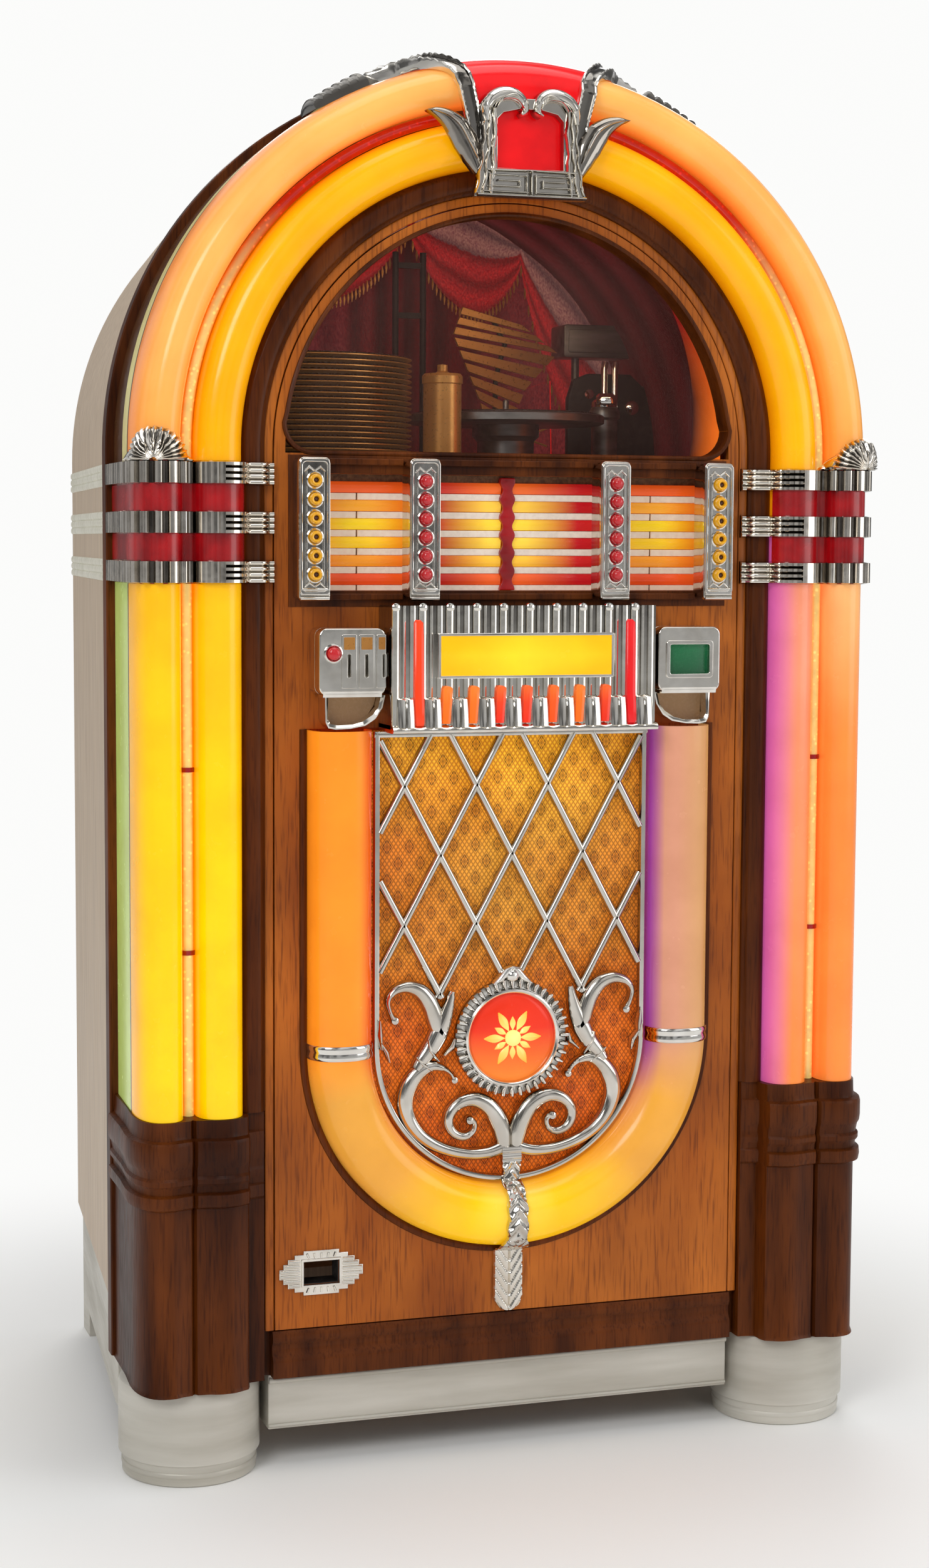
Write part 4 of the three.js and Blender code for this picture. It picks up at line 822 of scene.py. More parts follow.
def shoulder(side, label):
    line, pitch = resampled(outline_line(0.7), 0.9)
    rows = with_normals(line)
    bottom = BAND_TOPS[-1] - BAND_HEIGHT
    covered = [row for row in rows[::4] if row[0] > INNER_START - 1]
    sleeve = [(r + nr * 2.4, y + ny * 2.4) for r, y, nr, ny in covered]
    floor = [(r + nr * 0.1, y + ny * 0.1) for r, y, nr, ny in covered]
    stations = straight(side, bottom + 0.5, BAND_TOPS[0] - 0.5)
    piece(f"shoulder_sleeve_{label}", sweep(sleeve + floor[::-1], stations), "ruby", slot="red_plastic",
          stands_for=(f"shoulder_trim_{label}",))
    for number, top in enumerate(BAND_TOPS, 1):
        rings, shades = [], []
        steps = 16
        for i in range(steps + 1):
            across = i / steps
            z = top - BAND_HEIGHT * across
            ring = []
            for k, (r, y, nr, ny) in enumerate(rows):
                rise = 1.0 + band_height(r, y, across, k * pitch)
                ring.append((side * (r + nr * rise), y + ny * rise, z))
                # Painted shade: the chrome is darker where the band is low and lighter where it is raised.
                shades.append(mix((0.12, 0.1, 0.09), (0.97, 0.93, 0.87), (rise - 2.6) / 4))
            rings.append(ring)
        for z in (top - BAND_HEIGHT, top):
            rings.append([(side * (r + nr * 0.4), y + ny * 0.4, z) for r, y, nr, ny in rows])
            # Painted shade: the end rings are a middle grey.
            shades += [(0.5, 0.48, 0.46)] * len(rows)
        piece(f"shoulder_band_{label}_{number}", wrapped(rings), "chrome", slot="chrome", sharp=50,
              weld=False, tint=shades)
    shoulder_fan(side, label, rows, pitch)


FAN_RADIUS, FAN_RIBS, FAN_STRETCH = 28.0, 15, 1.2
STEPS_PER_RIB = 8


def shoulder_fan(side, label, rows, pitch):
    """A ribbed scallop on the top band, wrapped round the outer lobe, between two low leaves."""
    middle = next(k for k, row in enumerate(rows) if row[0] > OUTER_CREST + 9)
    base_z, steps, around = BAND_TOPS[0] - 0.6, 12, FAN_RIBS * STEPS_PER_RIB

    def on_lobe(reach, z, rise):
        place = middle + reach / pitch
        low = int(place)
        (r0, y0, nr, ny), (r1, y1, _, _) = rows[low], rows[low + 1]
        share = place - low
        return (side * (r0 + (r1 - r0) * share + nr * rise), y0 + (y1 - y0) * share + ny * rise, z)

    rings, shades = [], []
    for i in range(steps + 1):
        share = i / steps
        dome = math.sqrt(max(0.0, 1 - share ** 2))
        ring = []
        for j in range(around + 1):
            angle = math.pi * j / around
            rib = math.sin(FAN_RIBS * angle) ** 2
            reach = FAN_RADIUS * (0.08 + 0.92 * share) * (1 + 0.05 * rib * share)
            rise = 3 + 11 * dome + 3.4 * rib * min(1, 2 * share)
            ring.append(on_lobe(reach * math.cos(angle), base_z + FAN_STRETCH * reach * math.sin(angle),
                                rise))
            # Painted shade: dark in the grooves between the ribs, light on the ribs and near the middle.
            shades.append(mix((0.16, 0.15, 0.14), (0.97, 0.94, 0.9), 1.6 * rib if share > 0.2 else 1))
        rings.append(ring)
    for inner in (1.0, 0.1):
        ring = []
        for j in range(around + 1):
            angle = math.pi * j / around
            height = inner * FAN_STRETCH * FAN_RADIUS * math.sin(angle)
            ring.append(on_lobe(inner * FAN_RADIUS * math.cos(angle), base_z + height, 1.2))
        rings.append(ring)
        # Painted shade: the end rings are a middle grey.
        shades += [(0.4, 0.38, 0.36)] * len(ring)
    piece(f"shoulder_fan_{label}", wrapped(rings), "chrome", slot="chrome", sharp=50, weld=False, tint=shades)
    leaves = []
    for way in (-1, 1):
        leaf = []
        for i in range(17):
            share = i / 16
            reach = way * (22 + 32 * share)
            high = 17 * (1 - share) ** 0.8 + 1.5
            section = ((0, 1), (0, 6), (0.3, 8), (0.75, 6.4), (1, 3), (1, 1))
            leaf.append([on_lobe(reach, base_z + up * high, rise) for up, rise in section])
        leaves.append(skin(leaf))
    piece(f"shoulder_leaves_{label}", joined(*leaves), "chrome", slot="chrome", sharp=50, weld=False)


for side, label in SIDES:
    shoulder(side, label)


# Pilaster bases, feet and plinth
FOOT_X, FOOT_Y = 350, 50


def make_bases():
    inner_kept = [k for k, (r, y) in enumerate(inner_lobe(7)) if y < -34]
    outer_kept = [k for k, (r, y) in enumerate(outer_lobe(7)) if y < -34 or r > OUTER_CREST]

    def section(outward):
        side_radius, flat, middle = 420 + outward, -34 - outward, (INNER_END + OUTER_START) / 2
        door_side = [(277.5, 13.7), (277.5, 0), (278, -4), (297, -9 - outward), (298, -22 - outward),
                     (301, -30 - outward)]
        inner, outer = inner_lobe(7 + outward), outer_lobe(7 + outward)
        notch = [(middle - 3, flat), (middle, flat + 5), (middle + 3, flat)]
        rear = [(side_radius, 60), (side_radius, 128.7), (398.8, 128.7), (398.8, 69.7), (360.3, 13.7)]
        return door_side + [inner[k] for k in inner_kept] + notch + [outer[k] for k in outer_kept] + rear

    levels = [(104.8, -1.5), (110, -3.5), (306, -3.5), (309, 2.2), (316, 3.4), (322, 2.8), (324, -2),
              (330, -1.4), (334, 1.5), (339, 1.6), (342, -1), (350, 0.4), (354, 2.6), (361, 3.5), (376, 3.5),
              (380, 2.4), (382, -3.3), (388, -4.4), (400.7, -4.8)]
    for side, label in SIDES:
        rings = [[(side * r, y, z) for r, y in section(outward)] for z, outward in levels]
        piece(f"base_{label}", skin(rings), "walnut", slot="walnut", stands_for=(f"pilaster_base_{label}",),
              sharp=32)
        foot = turned([(0, 0), (71, 0), (73, 1.5), (73, 21), (74, 23), (77, 24.5), (77, 98), (75.5, 103),
                       (73, 104.7), (0, 104.7)], 72, side * FOOT_X, FOOT_Y)
        ring = turned([(73.2, 9), (73.9, 10), (73.9, 14), (73.2, 15)], 72, side * FOOT_X, FOOT_Y)
        piece(f"foot_ringed_{label}", joined(foot, ring), "aluminium", slot="aluminium_base",
              stands_for=(f"foot_{label}",), sharp=35)


def make_plinth():
    def outline(inset):
        jog, rear = 413 - inset, 376 - inset
        half = [(270 - inset, 12 + inset), (270 - inset, 136 + inset), (jog, 136 + inset), (jog, 150 + inset),
                (rear, 590 - inset)]
        return half + [(-x, y) for x, y in half[::-1]]

    ring = slab([outline(0), outline(12)], 44, 104.7, 0.8)
    walls = [skin([[(side * x, y, z) for x, y in ((413, 150), (376, 590), (364, 590), (401, 150))]
                   for z in (104.4, 164.7)]) for side in (-1, 1)]
    rear = block(-370, 370, 578, 590, 104.4, 164.7)
    legs = [block(x0, x1, 546, 590, 0, 44.3) for x0, x1 in ((-376, -332), (332, 376))]
    piece("kick_plinth", joined(ring, *walls, rear, *legs), "aluminium", slot="aluminium_base",
          stands_for=("plinth",), bevel=0.8)
    beads = [drawn(circle(thickness, 10, y, z), -269.5, 269.5)
             for thickness, y, z in ((3.2, 11, 98.5), (1.8, 11.6, 48))]
    piece("kick_bead", joined(*beads), "aluminium", slot="aluminium_base")


make_bases()
make_plinth()


def on_arch(r, y, angle):
    """A place on the arch, its angle in degrees from the top towards the right."""
    turn = math.radians(90 - angle)
    return (r * math.cos(turn), y, ARCH_Z + r * math.sin(turn))


# Front door: panel, window trim, glass and title strips
SLOT_XS = (-195, -176, -157)
BAR_XS = (-229, -108, 108, 229)
BUTTON_PITCH = 19.7
BUTTON_ZS = tuple(1074 - BUTTON_PITCH * row for row in range(6))
DOOR = "front_door"
RETURN_SLOT = (-234, -194, 206, 232)
TRIM_EDGE, TRIM_BOTTOM, TRIM_CORNER = 253, 1104.5, 30


def make_panel():
    outline, slot = arch_outline(265, 158), rectangle(*RETURN_SLOT)
    titles, surround = rectangle(-240, 240, 958, 1082), rectangle(-250, 250, 941, 1101)
    face = plate([outline, arch_outline(253, 1103), surround, u_outline(232, 811), slot], 0, 10)
    core = plate([outline, arch_outline(253, 1103), titles, u_outline(146, 803), slot], 10, 24)
    piece("door_panel", joined(face, core), "light_walnut", DOOR, "light_walnut", ("front_door",))
    piece("selector_surround", plate([surround, titles], -1.6, 9.9, 0.8), "walnut", DOOR, "walnut")
    edging = [(229.8, 9.7), (229.8, -0.6), (231, -1.6), (234, -2), (237, -1.6), (238, 0.2), (232.2, 0.2),
              (232.2, 9.7)]
    piece("recess_edging", sweep(edging, u_stations(810.6)), "walnut", DOOR, "walnut")
    trim = [(251.4, 24), (251.4, 0), (252, -1.4), (254, -2.2), (256, -1.4), (256.6, 0.2), (253.2, 0.2),
            (253.2, 24)]
    rings = []
    for side, start in ((-1, 180), (1, -90)):
        for angle in [math.radians(start + 90 * i / 8) for i in range(9)]:
            rings.append([(side * (TRIM_EDGE - TRIM_CORNER) + (r - TRIM_EDGE + TRIM_CORNER) * math.cos(angle),
                           y, TRIM_BOTTOM + TRIM_CORNER + (r - TRIM_EDGE + TRIM_CORNER) * math.sin(angle))
                          for r, y in trim])
    rings += [[on_arch(r, y, 81 - 162 * i / 80) for r, y in trim] for i in range(81)]
    piece("window_trim", skin(rings, close_along=True), "walnut", DOOR, "walnut")
    piece("dome_glass_clear", plate([arch_outline(261, 1095)], 24.3, 29.3, 0.6), "glass", DOOR, "dome_glass",
          ("dome_glass",))


STRIP_OUTER = (srgb(243, 96, 32), srgb(253, 170, 44), srgb(255, 214, 30), srgb(255, 206, 34),
               srgb(250, 156, 40), srgb(238, 84, 36))
STRIP_INNER = (srgb(206, 36, 38), srgb(196, 28, 36))
STRIP_CENTRE = (srgb(246, 110, 40), srgb(255, 206, 70), srgb(255, 216, 60), srgb(255, 214, 70),
                srgb(255, 196, 60), srgb(240, 100, 44))


def make_titles():
    board = block(-247, 247, 24.3, 29.3, 951, 1089)
    piece("title_backing", board, "board", DOOR, "cloth", ("title_board",), bevel=0.6)
    lit, cream = [], []
    for z in BUTTON_ZS:
        section = [(24.2, z + 0.3), (22, z), (20.6, z - 3), (20.2, z - 5.6), (20.6, z - 8.4), (22, z - 11.2),
                   (24.2, z - 11.6)]
        for x0, x1 in ((-239, -6.5), (6.5, 239)):
            lit.append(drawn(section, *(x0 + (x1 - x0) * i / 40 for i in range(41))))
        card = [(24.2, z - 12), (21.2, z - 12.2), (21.8, z - 19), (24.2, z - 19.2)]
        for ends in ((-239, -170), (-168, -108), (-107, -7), (7, 107), (108, 168), (170, 239)):
            cream.append(drawn(card, *ends))

    def lit_tint(x, y, z):
        row = min(5, max(0, round((BUTTON_ZS[0] - 5.6 - z) / BUTTON_PITCH)))
        if abs(x) > 108:
            middle = 1 - abs(abs(x) - 168) / 52
            return mix(STRIP_OUTER[0], STRIP_OUTER[row], 0.35 + 0.9 * middle)
        return mix(STRIP_CENTRE[row], STRIP_INNER[row % 2], (abs(x) - 22) / 58)

    piece("title_lights", joined(*lit), "lit", DOOR, "cloth", tint=lit_tint)
    piece("title_cards", joined(*cream), "paper", DOOR, "cloth",
          tint=lambda x, y, z: srgb(240, 214, 190) if abs(x) > 120 else srgb(236, 220, 204), bevel=0.3)
    wave = [(7 + 1.6 * math.sin(z / 3.1), z) for z in (958.3 + 1.5 * i for i in range(82))]
    outline = wave + [(-x, z) for x, z in wave[::-1]]
    piece("title_divider", plate([outline], 16, 24.2, 0.6), "ruby", DOOR, "walnut")


make_panel()
make_titles()


# Selector bars and their buttons
BUTTON_RING = ((7, -31), (7, -33), (8, -33.6), (9.2, -33), (9.2, -31))
OUTER_KEY = ((0, -26), (6.4, -26), (6.4, -38), (6, -40.4), (4.9, -42), (3.6, -41.6), (2.9, -39.8),
             (2.3, -38.4), (1.2, -39), (0, -39.4))
INNER_KEY = ((0, -26), (6.4, -26), (6.4, -36.6), (6, -39), (5, -41), (3.6, -42.3), (1.8, -42.9), (0, -43))


def make_selector():
    for number, x in enumerate(BAR_XS, 1):
        holes = [circle(7, 28, x, z) for z in BUTTON_ZS]
        face = plate([rectangle(x - 17, x + 17, 948, 1098, 5)] + holes, -31.5, -20, 1.2)
        core = plate([rectangle(x - 16.4, x + 16.4, 948.6, 1097.4, 5)], -20.2, -0.3)
        rim = plate([rectangle(x - 16.4, x + 16.4, 954, 1096.5, 5),
                     rectangle(x - 13.2, x + 13.2, 958, 1093, 4)],
                    -33.9, -31, 0.9)
        flank = [plate([rectangle(x + side * 9.4 - 1, x + side * 9.4 + 1, 964, 1086, 0.9)], -32.6, -31, 0.4)
                 for side in (-1, 1)]
        rings = [open_ended(turned_y(BUTTON_RING, 28, x, z)) for z in BUTTON_ZS]
        foot = []
        for k in range(3):
            ridge = [(-30 - 4 * math.sin(a), 950.4 + 4.6 * k + 2.3 * math.cos(a))
                     for a in (math.radians(15 * j) for j in range(13))]
            foot.append(drawn(ridge, x - 15.6, x + 15.6))
        leaf, cap = ([stroke([(x + s * 11, z), (x + s * 6, z + 5), (x, z + 0.6)], [1.5, 3.4, 2], -33.8, -31)
                      for s in (-1, 1)] for z in (962, 1083))
        shape = joined(face, core, rim, *flank, *rings, *foot, *leaf, *cap)
        stands_for = ("selector_frame",) if number == 1 else ()
        # Painted shade: the bar's parts behind its front faces are darker.
        piece(f"selector_bar_{number}", shape, "chrome", DOOR, "chrome", stands_for, weld=False,
              tint=lambda x, y, z: (0.8, 0.79, 0.77) if y > -33 else (0.97, 0.96, 0.94))
    rails = []
    for z0, z1 in ((1091, 1098), (948, 955)):
        for x0, x1 in ((-212, -125), (-91, 91), (125, 212)):
            rails.append(block(x0, x1, -8, -0.3, z0, z1))
    piece("selector_rails", joined(*rails), "walnut", DOOR, "chrome", bevel=1.2)
    dark, brass, red = srgb(60, 20, 6), srgb(236, 172, 26), srgb(186, 22, 32)
    for column, x in enumerate(BAR_XS, 1):
        outer = column in (1, 4)
        for row, z in enumerate(BUTTON_ZS, 1):
            def tint(px, py, pz, x=x, z=z, outer=outer):
                r = math.hypot(px - x, pz - z)
                if outer:
                    return dark if r < 2.7 and py < -37 else brass
                # Painted highlight: a paler spot at the tip of each red key.
                return mix(red, srgb(240, 90, 90), (2.5 - r) / 6)

            name = f"selector_button_{column}_{row}"
            piece(f"key_{column}_{row}", turned_y(OUTER_KEY if outer else INNER_KEY, 26, x, z), "enamel",
                  name, "amber_plastic" if outer else "red_plastic", (name,), tint=tint)


make_selector()


# Grille header with its fluted skirt, plate and coloured inserts
HEADER_PITCH = 30
FLUTE = ((0, -46), (0.4, -49), (2, -50.6), (4.6, -51), (7.2, -50.6), (8.8, -49), (9.2, -45.4), (12.4, -45),
         (13, -47.2), (14.5, -48), (16, -47.2), (16.6, -45), (20.4, -45), (21, -47.6), (23, -48.6),
         (25.6, -48.6), (27.4, -47.4), (28, -45.2))
INSERT_COLOURS = tuple(srgb(*rgb) for rgb in (
    (250, 110, 30), (250, 110, 30), (232, 50, 28), (232, 50, 28), (246, 84, 28), (250, 110, 30),
    (232, 50, 28)))


def insert(x, levels, chamfer, flat):
    """A bar with chamfered edges down the skirt, from levels of z, depth, half width and lean."""
    rings = []
    for z, depth, half, lean in levels:
        rings.append([(x + lean + share * half, y, z) for share, y in (
            (-1, -44), (-1, depth + chamfer), (-flat, depth), (flat, depth), (1, depth + chamfer), (1, -44))])
    return skin(rings)


def make_header():
    outline = [(150, -0.3), (-150, -0.3)]
    outline += [(HEADER_PITCH * k - 150 + dx, depth) for k in range(10) for dx, depth in FLUTE]
    body = slab([outline + [(150, -46)]], 812, 943)
    skirt = []
    for x in range(-135, 136, HEADER_PITCH):
        rings = []
        for z, depth, grow in ((846, -51, 0), (844, -53.6, 1), (834, -55.2, 1.5), (820, -56.8, 2),
                               (814, -57, 2)):
            reach = 9.2 + grow * 0.5 - 1
            rings.append([(x - reach, -44, z), (x - reach, depth + 1.5, z), (x - reach + 2, depth, z),
                          (x - 1.6, depth - 0.4, z), (x, depth + 1.2, z), (x + 1.6, depth - 0.4, z),
                          (x + reach - 2, depth, z), (x + reach, depth + 1.5, z), (x + reach, -44, z)])
        skirt.append(skin(rings))
    edge = []
    for x in range(-150, 151, 3):
        swell = 0.8 * abs(math.sin(x / 7.5 * math.pi / 2))
        edge.append([(x, -0.3, 808), (x, -52, 808), (x, -56.4 - swell, 808.6), (x, -58, 811),
                     (x, -56.4, 813.6), (x, -54.6 - swell, 815), (x, -50, 816.4), (x, -0.3, 816.4)])
    cap = ((0, -44), (4.6, -44), (4.6, -50.4), (2.5, -51.8), (0, -52))
    caps = [turned_y(cap, 16, -145.4 + HEADER_PITCH * k, 941.2) for k in range(10)]
    # Painted shade: dark in the hollows of the flutes.
    piece("header_flutes", joined(body, *skirt, skin(edge), *caps), "chrome", DOOR, "chrome",
          ("grille_header",), weld=False,
          tint=lambda x, y, z: (0.3, 0.29, 0.28) if y > -46.4 and z > 846 else (0.95, 0.94, 0.91))
    frame_outlines = [rectangle(-99.5, 99.5, 865.6, 914, 2), rectangle(-96.5, 96.5, 868.6, 911)]
    piece("header_plate_frame", plate(frame_outlines, -53.4, -45, 0.5), "chrome", DOOR, "chrome")
    cushion = ((-52.4, 868), (-52.9, 876), (-53, 890), (-52.9, 904), (-52.4, 911.6), (-46, 911.6), (-46, 868))
    plate_shape = drawn(cushion, *(-97 + 194 * i / 24 for i in range(25)))
    piece("header_plate", plate_shape, "lit", DOOR, "yellow_plastic",
          tint=lambda x, y, z: mix(srgb(255, 224, 40), srgb(250, 190, 8), abs(x) / 110 + abs(z - 890) / 60))
    leaning = ((858, -50.5, 3.4, 2.4), (855, -52.8, 5, 2), (840, -54.6, 4.8, 0.8), (822, -56.6, 4.4, -0.8),
               (818, -56.8, 4, -1))
    for k, shade in enumerate(INSERT_COLOURS):
        piece(f"header_insert_{k + 1}", insert(HEADER_PITCH * (k - 3), leaning, 1, 0.4), "lit", DOOR,
              "red_plastic", tint=lambda x, y, z, shade=shade: mix(shade, srgb(255, 150, 60), (z - 835) / 60))
    upright = ((928, -50, 3.5, 0), (925, -52, 5, 0), (850, -53.6, 5, 0), (836, -55.6, 5, 0),
               (819, -57.2, 4.6, 0), (816, -56, 4, 0))
    for (side, label), shade in zip(SIDES, (srgb(240, 66, 26), srgb(224, 28, 32))):
        piece(f"header_bar_{label}", insert(side * 4 * HEADER_PITCH, upright, 1.4, 0.5), "lit", DOOR,
              "red_plastic", tint=shade)


make_header()


# Coin entry and display box, each over a scoop
def box_shell(x0, x1, holes):
    outline = rectangle(x0 + 0.6, x1 - 0.6, 848.6, 919.4, 9, 8)
    front, back = plate([outline] + holes, -44, -24, 1.6), plate([outline], -24.2, -0.3)
    ledge = ((-42, 849.5), (-44.6, 853), (-43, 846.8), (-24, 845.8), (-24, 849.5))
    return joined(front, back, drawn(ledge, x0 + 5, x1 - 5))


def scoop(side):
    """The scoop's curved wall is towards the header; its outer side is upright."""
    outline = [(217, 848), (217, 822), (214, 816), (206, 814.4), (190, 815), (176, 818), (165, 825),
               (158, 835), (155, 848)]
    rings = []
    for y, outward in ((-0.3, 0), (-26, 0), (-33, 0.8), (-35.6, 2), (-36, 0.4), (-34, -2.2), (-20, -3),
                       (-4, -3)):
        rings.append([(x + outward * (1 if x > 186 else -1) * (0.6 if z < 830 else 1), y,
                       z - outward * (z < 830))
                      for x, z in outline])
    shape = skin(rings, close_across=False)
    return shape if side > 0 else mirrored(shape)


REJECT_X, REJECT_Z = -212, 893


def make_boxes():
    slots = [rectangle(x - 1.5, x + 1.5, 868, 892, 1.2) for x in SLOT_XS]
    coin = box_shell(-228, -154, slots + [circle(7.6, 28, REJECT_X, REJECT_Z)])
    tags, frames = [], []
    for x in SLOT_XS:
        right = min(x + 8.2, -154.8)
        rim, slit = rectangle(x - 8.2, right, 856, 913, 1.5), rectangle(x - 1.7, x + 1.7, 867.6, 892.4, 1.3)
        frames.append(plate([rim, slit], -45.4, -43.6, 0.5))
        tags.append(plate([rectangle(x - 6, min(right - 1, x + 6), 897, 910, 1)], -46.3, -45.2, 0.3))
    ring = open_ended(turned_y([(7.6, -44), (7.6, -45.4), (8.6, -46.2), (10, -45.6), (10.4, -44)], 30,
                               REJECT_X, REJECT_Z))
    piece("coin_box", joined(coin, *frames, ring), "chrome", DOOR, "chrome", ("coin_entry",), weld=False,
          tint=(0.93, 0.92, 0.9))
    piece("coin_tags", joined(*tags), "gold", DOOR, "cloth", weld=False)
    profile = [(0, -31), (7, -31), (7, -46), (6.6, -48.4), (5.4, -50), (3.4, -50.8), (0, -51)]
    piece("reject_key", turned_y(profile, 28, REJECT_X, REJECT_Z), "enamel", "reject_button", "red_plastic",
          ("reject_button",), tint=srgb(198, 24, 34))
    display = box_shell(154, 228, [rectangle(167, 215, 867, 901, 2)])
    window = plate([rectangle(163.4, 218.6, 863.4, 904.6, 4), rectangle(168, 214, 868, 900, 2)], -46, -43,
                   0.8)
    piece("display_case", joined(display, window), "chrome", DOOR, "chrome", ("display_box",), weld=False,
          tint=(0.96, 0.95, 0.93))
    piece("display_glass", plate([rectangle(167.2, 214.8, 867.2, 900.8, 2)], -39.6, -37.8, 0.3), "enamel",
          DOOR, "black_disc", tint=lambda x, y, z: mix(srgb(14, 84, 48), srgb(30, 116, 70), (z - 868) / 34))
    for side, label in SIDES:
        piece(f"scoop_{label}", scoop(side), "chrome", DOOR, "chrome", tint=(0.95, 0.94, 0.92))
        outline = [(side * x, z) for x, z in ((214.5, 848), (214.5, 820), (206, 817), (190, 817.6),
                                              (178, 820), (167.6, 827), (161, 837), (158.4, 848))]
        piece(f"scoop_lining_{label}", plate([outline], -19, -16), "enamel", DOOR, "light_walnut",
              tint=lambda x, y, z: mix(srgb(120, 84, 52), srgb(176, 136, 92), (z - 812) / 40))


make_boxes()


# U-shaped plastic with its clips, then the cloth
U_CREST, U_HALF, U_RISE = 194.5, 34.5, 34.0


def u_front(outward=0.0):
    half, rise = U_HALF + outward, U_RISE + outward
    return oval_quarter(U_CREST, half, 0, rise, 0, 1, 14) + oval_quarter(U_CREST, half, 0, rise, 1, 2, 14)[1:]


def u_tint(x, y, z):
    r = math.hypot(x, z - GRILLE_Z) if z < GRILLE_Z else abs(x)
    inner = (229 - r) / 69
    orange, rim = srgb(250, 146, 34), srgb(234, 66, 16)
    mauve, violet, tan = srgb(212, 148, 120), srgb(160, 66, 156), srgb(206, 158, 92)
    sand, sun = srgb(232, 164, 62), srgb(255, 198, 8)
    angle = math.degrees(math.atan2(z - GRILLE_Z, x))
    if x < 0:
        straight_part = mix(orange, rim, (inner - 0.72) * 4)
    else:
        straight_part = mix(mix(tan, mauve, inner * 1.5), violet, (inner - 0.84) * 7)
    if z > GRILLE_Z:
        return straight_part
    depth = -math.sin(math.radians(angle))
    curved = mix(sand, sun, (depth - 0.72) * 4)
    curved = mix(curved, srgb(255, 232, 96), (depth - 0.965) * 20 * inner)
    edge = mix(rim, srgb(248, 150, 40), depth) if x < 0 else mix(violet, srgb(248, 150, 40), depth * 1.4)
    curved = mix(curved, edge, (inner - 0.8) * 3)
    return mix(straight_part, curved, depth * 4) if x < 0 else mix(straight_part, curved, depth * 2.6)


def make_u():
    profile = ([(160, 9.7)] + u_front() + [(229, 9.7), (225, 9.7)] + u_front(-4)[::-1] + [(164, 9.7)])
    piece("u_tube_lit", sweep(profile, u_stations(809.5, 96, 40)), "lit", DOOR, "yellow_plastic",
          ("u_pilaster",), tint=u_tint)
    for side, label in SIDES:
        outer = [(r, y) for r, y in u_front(1.8) if y < 0]
        inner = [(r, y) for r, y in u_front(0.3) if y < 0]
        rings = []
        for z, grow in ((456, -0.6), (457, 0), (460, 0.3), (463.5, -0.5), (464.5, -0.5), (468, 0.3), (471, 0),
                        (472, -0.6)):
            rings.append([(side * (r + (grow if r > U_CREST else -grow)), y - grow, z) for r, y in outer]
                         + [(side * r, y, z) for r, y in inner[::-1]])
        # Painted reflection: the clip's inner end takes the lit plastic's orange.
        piece(f"u_clip_{label}", skin(rings), "chrome", DOOR, "chrome",
              tint=lambda x, y, z: srgb(248, 130, 34) if abs(x) < 166 else WHITE)


def make_cloth():
    radius, top, depth = 157.0, 807.4, 6.4
    rows, columns = 90, 40
    grid = []
    for i in range(rows + 1):
        if i <= 50:
            z = top - (top - GRILLE_Z) * i / 50
            half = radius
        else:
            angle = math.pi / 2 * (i - 50) / (rows - 50)
            z = GRILLE_Z - radius * math.sin(angle)
            half = max(0.5, radius * math.cos(angle))
        grid.append([(half * (2 * j / columns - 1), depth, z) for j in range(columns + 1)])

    # Painted light: a bright pool near the top middle, under the header. The cloth also turns redder towards
    # the sides and the bottom.
    def tint(x, y, z):
        glow = math.exp(-((x / 150) ** 2 + ((z - 810) / 90) ** 2))
        base = mix((0.88, 0.66, 0.42), (0.85, 0.42, 0.18), abs(x - 10) / 190)
        low = mix(base, (0.9, 0.3, 0.08), (570 - z) / 90)
        return mix(low, (1.5, 1.2, 0.35), glow)

    cloth = piece("grille_cloth_gold", skin(grid, close_across=False), "brocade", DOOR, "cloth",
                  ("grille_cloth",), tint=tint, weld=False)


make_u()
make_cloth()


# Cast grille: border, lattice, dial, scrolls and tail
DIAL_Z = 468.0


def crossing_bars():
    """Half-round bars of the diamond lattice, clipped to the border and to the scrolls below."""
    bars = []
    half, run, rise = 150.0, 41.0, 76.0
    top, low, clear = 803.0, 515.0, 66.0
    crossing = 671.6
    for side in (-1, 1):
        for k in range(-8, 9):
            def x_at(z):
                return side * (2 * k * run + (z - crossing) * run / rise)

            start = low
            while math.hypot(x_at(start), start - DIAL_Z) < clear:
                start += 1
            ends = [[x_at(z), z] for z in (start, top)]
            if max(ends)[0] < -half or min(ends)[0] > half:
                continue
            for end, other in ((0, 1), (1, 0)):
                if abs(ends[end][0]) > half:
                    limit = math.copysign(half, ends[end][0])
                    share = (limit - ends[other][0]) / (ends[end][0] - ends[other][0])
                    ends[end] = [limit, ends[other][1] + (ends[end][1] - ends[other][1]) * share]
            (xa, za), (xb, zb) = ends
            if math.hypot(xb - xa, zb - za) < 8:
                continue
            path = [(xa + (xb - xa) * i / 12, za + (zb - za) * i / 12) for i in range(13)]
            bars.append(stroke(path, 8.4, -9, -1.4, 0.55))
    return bars


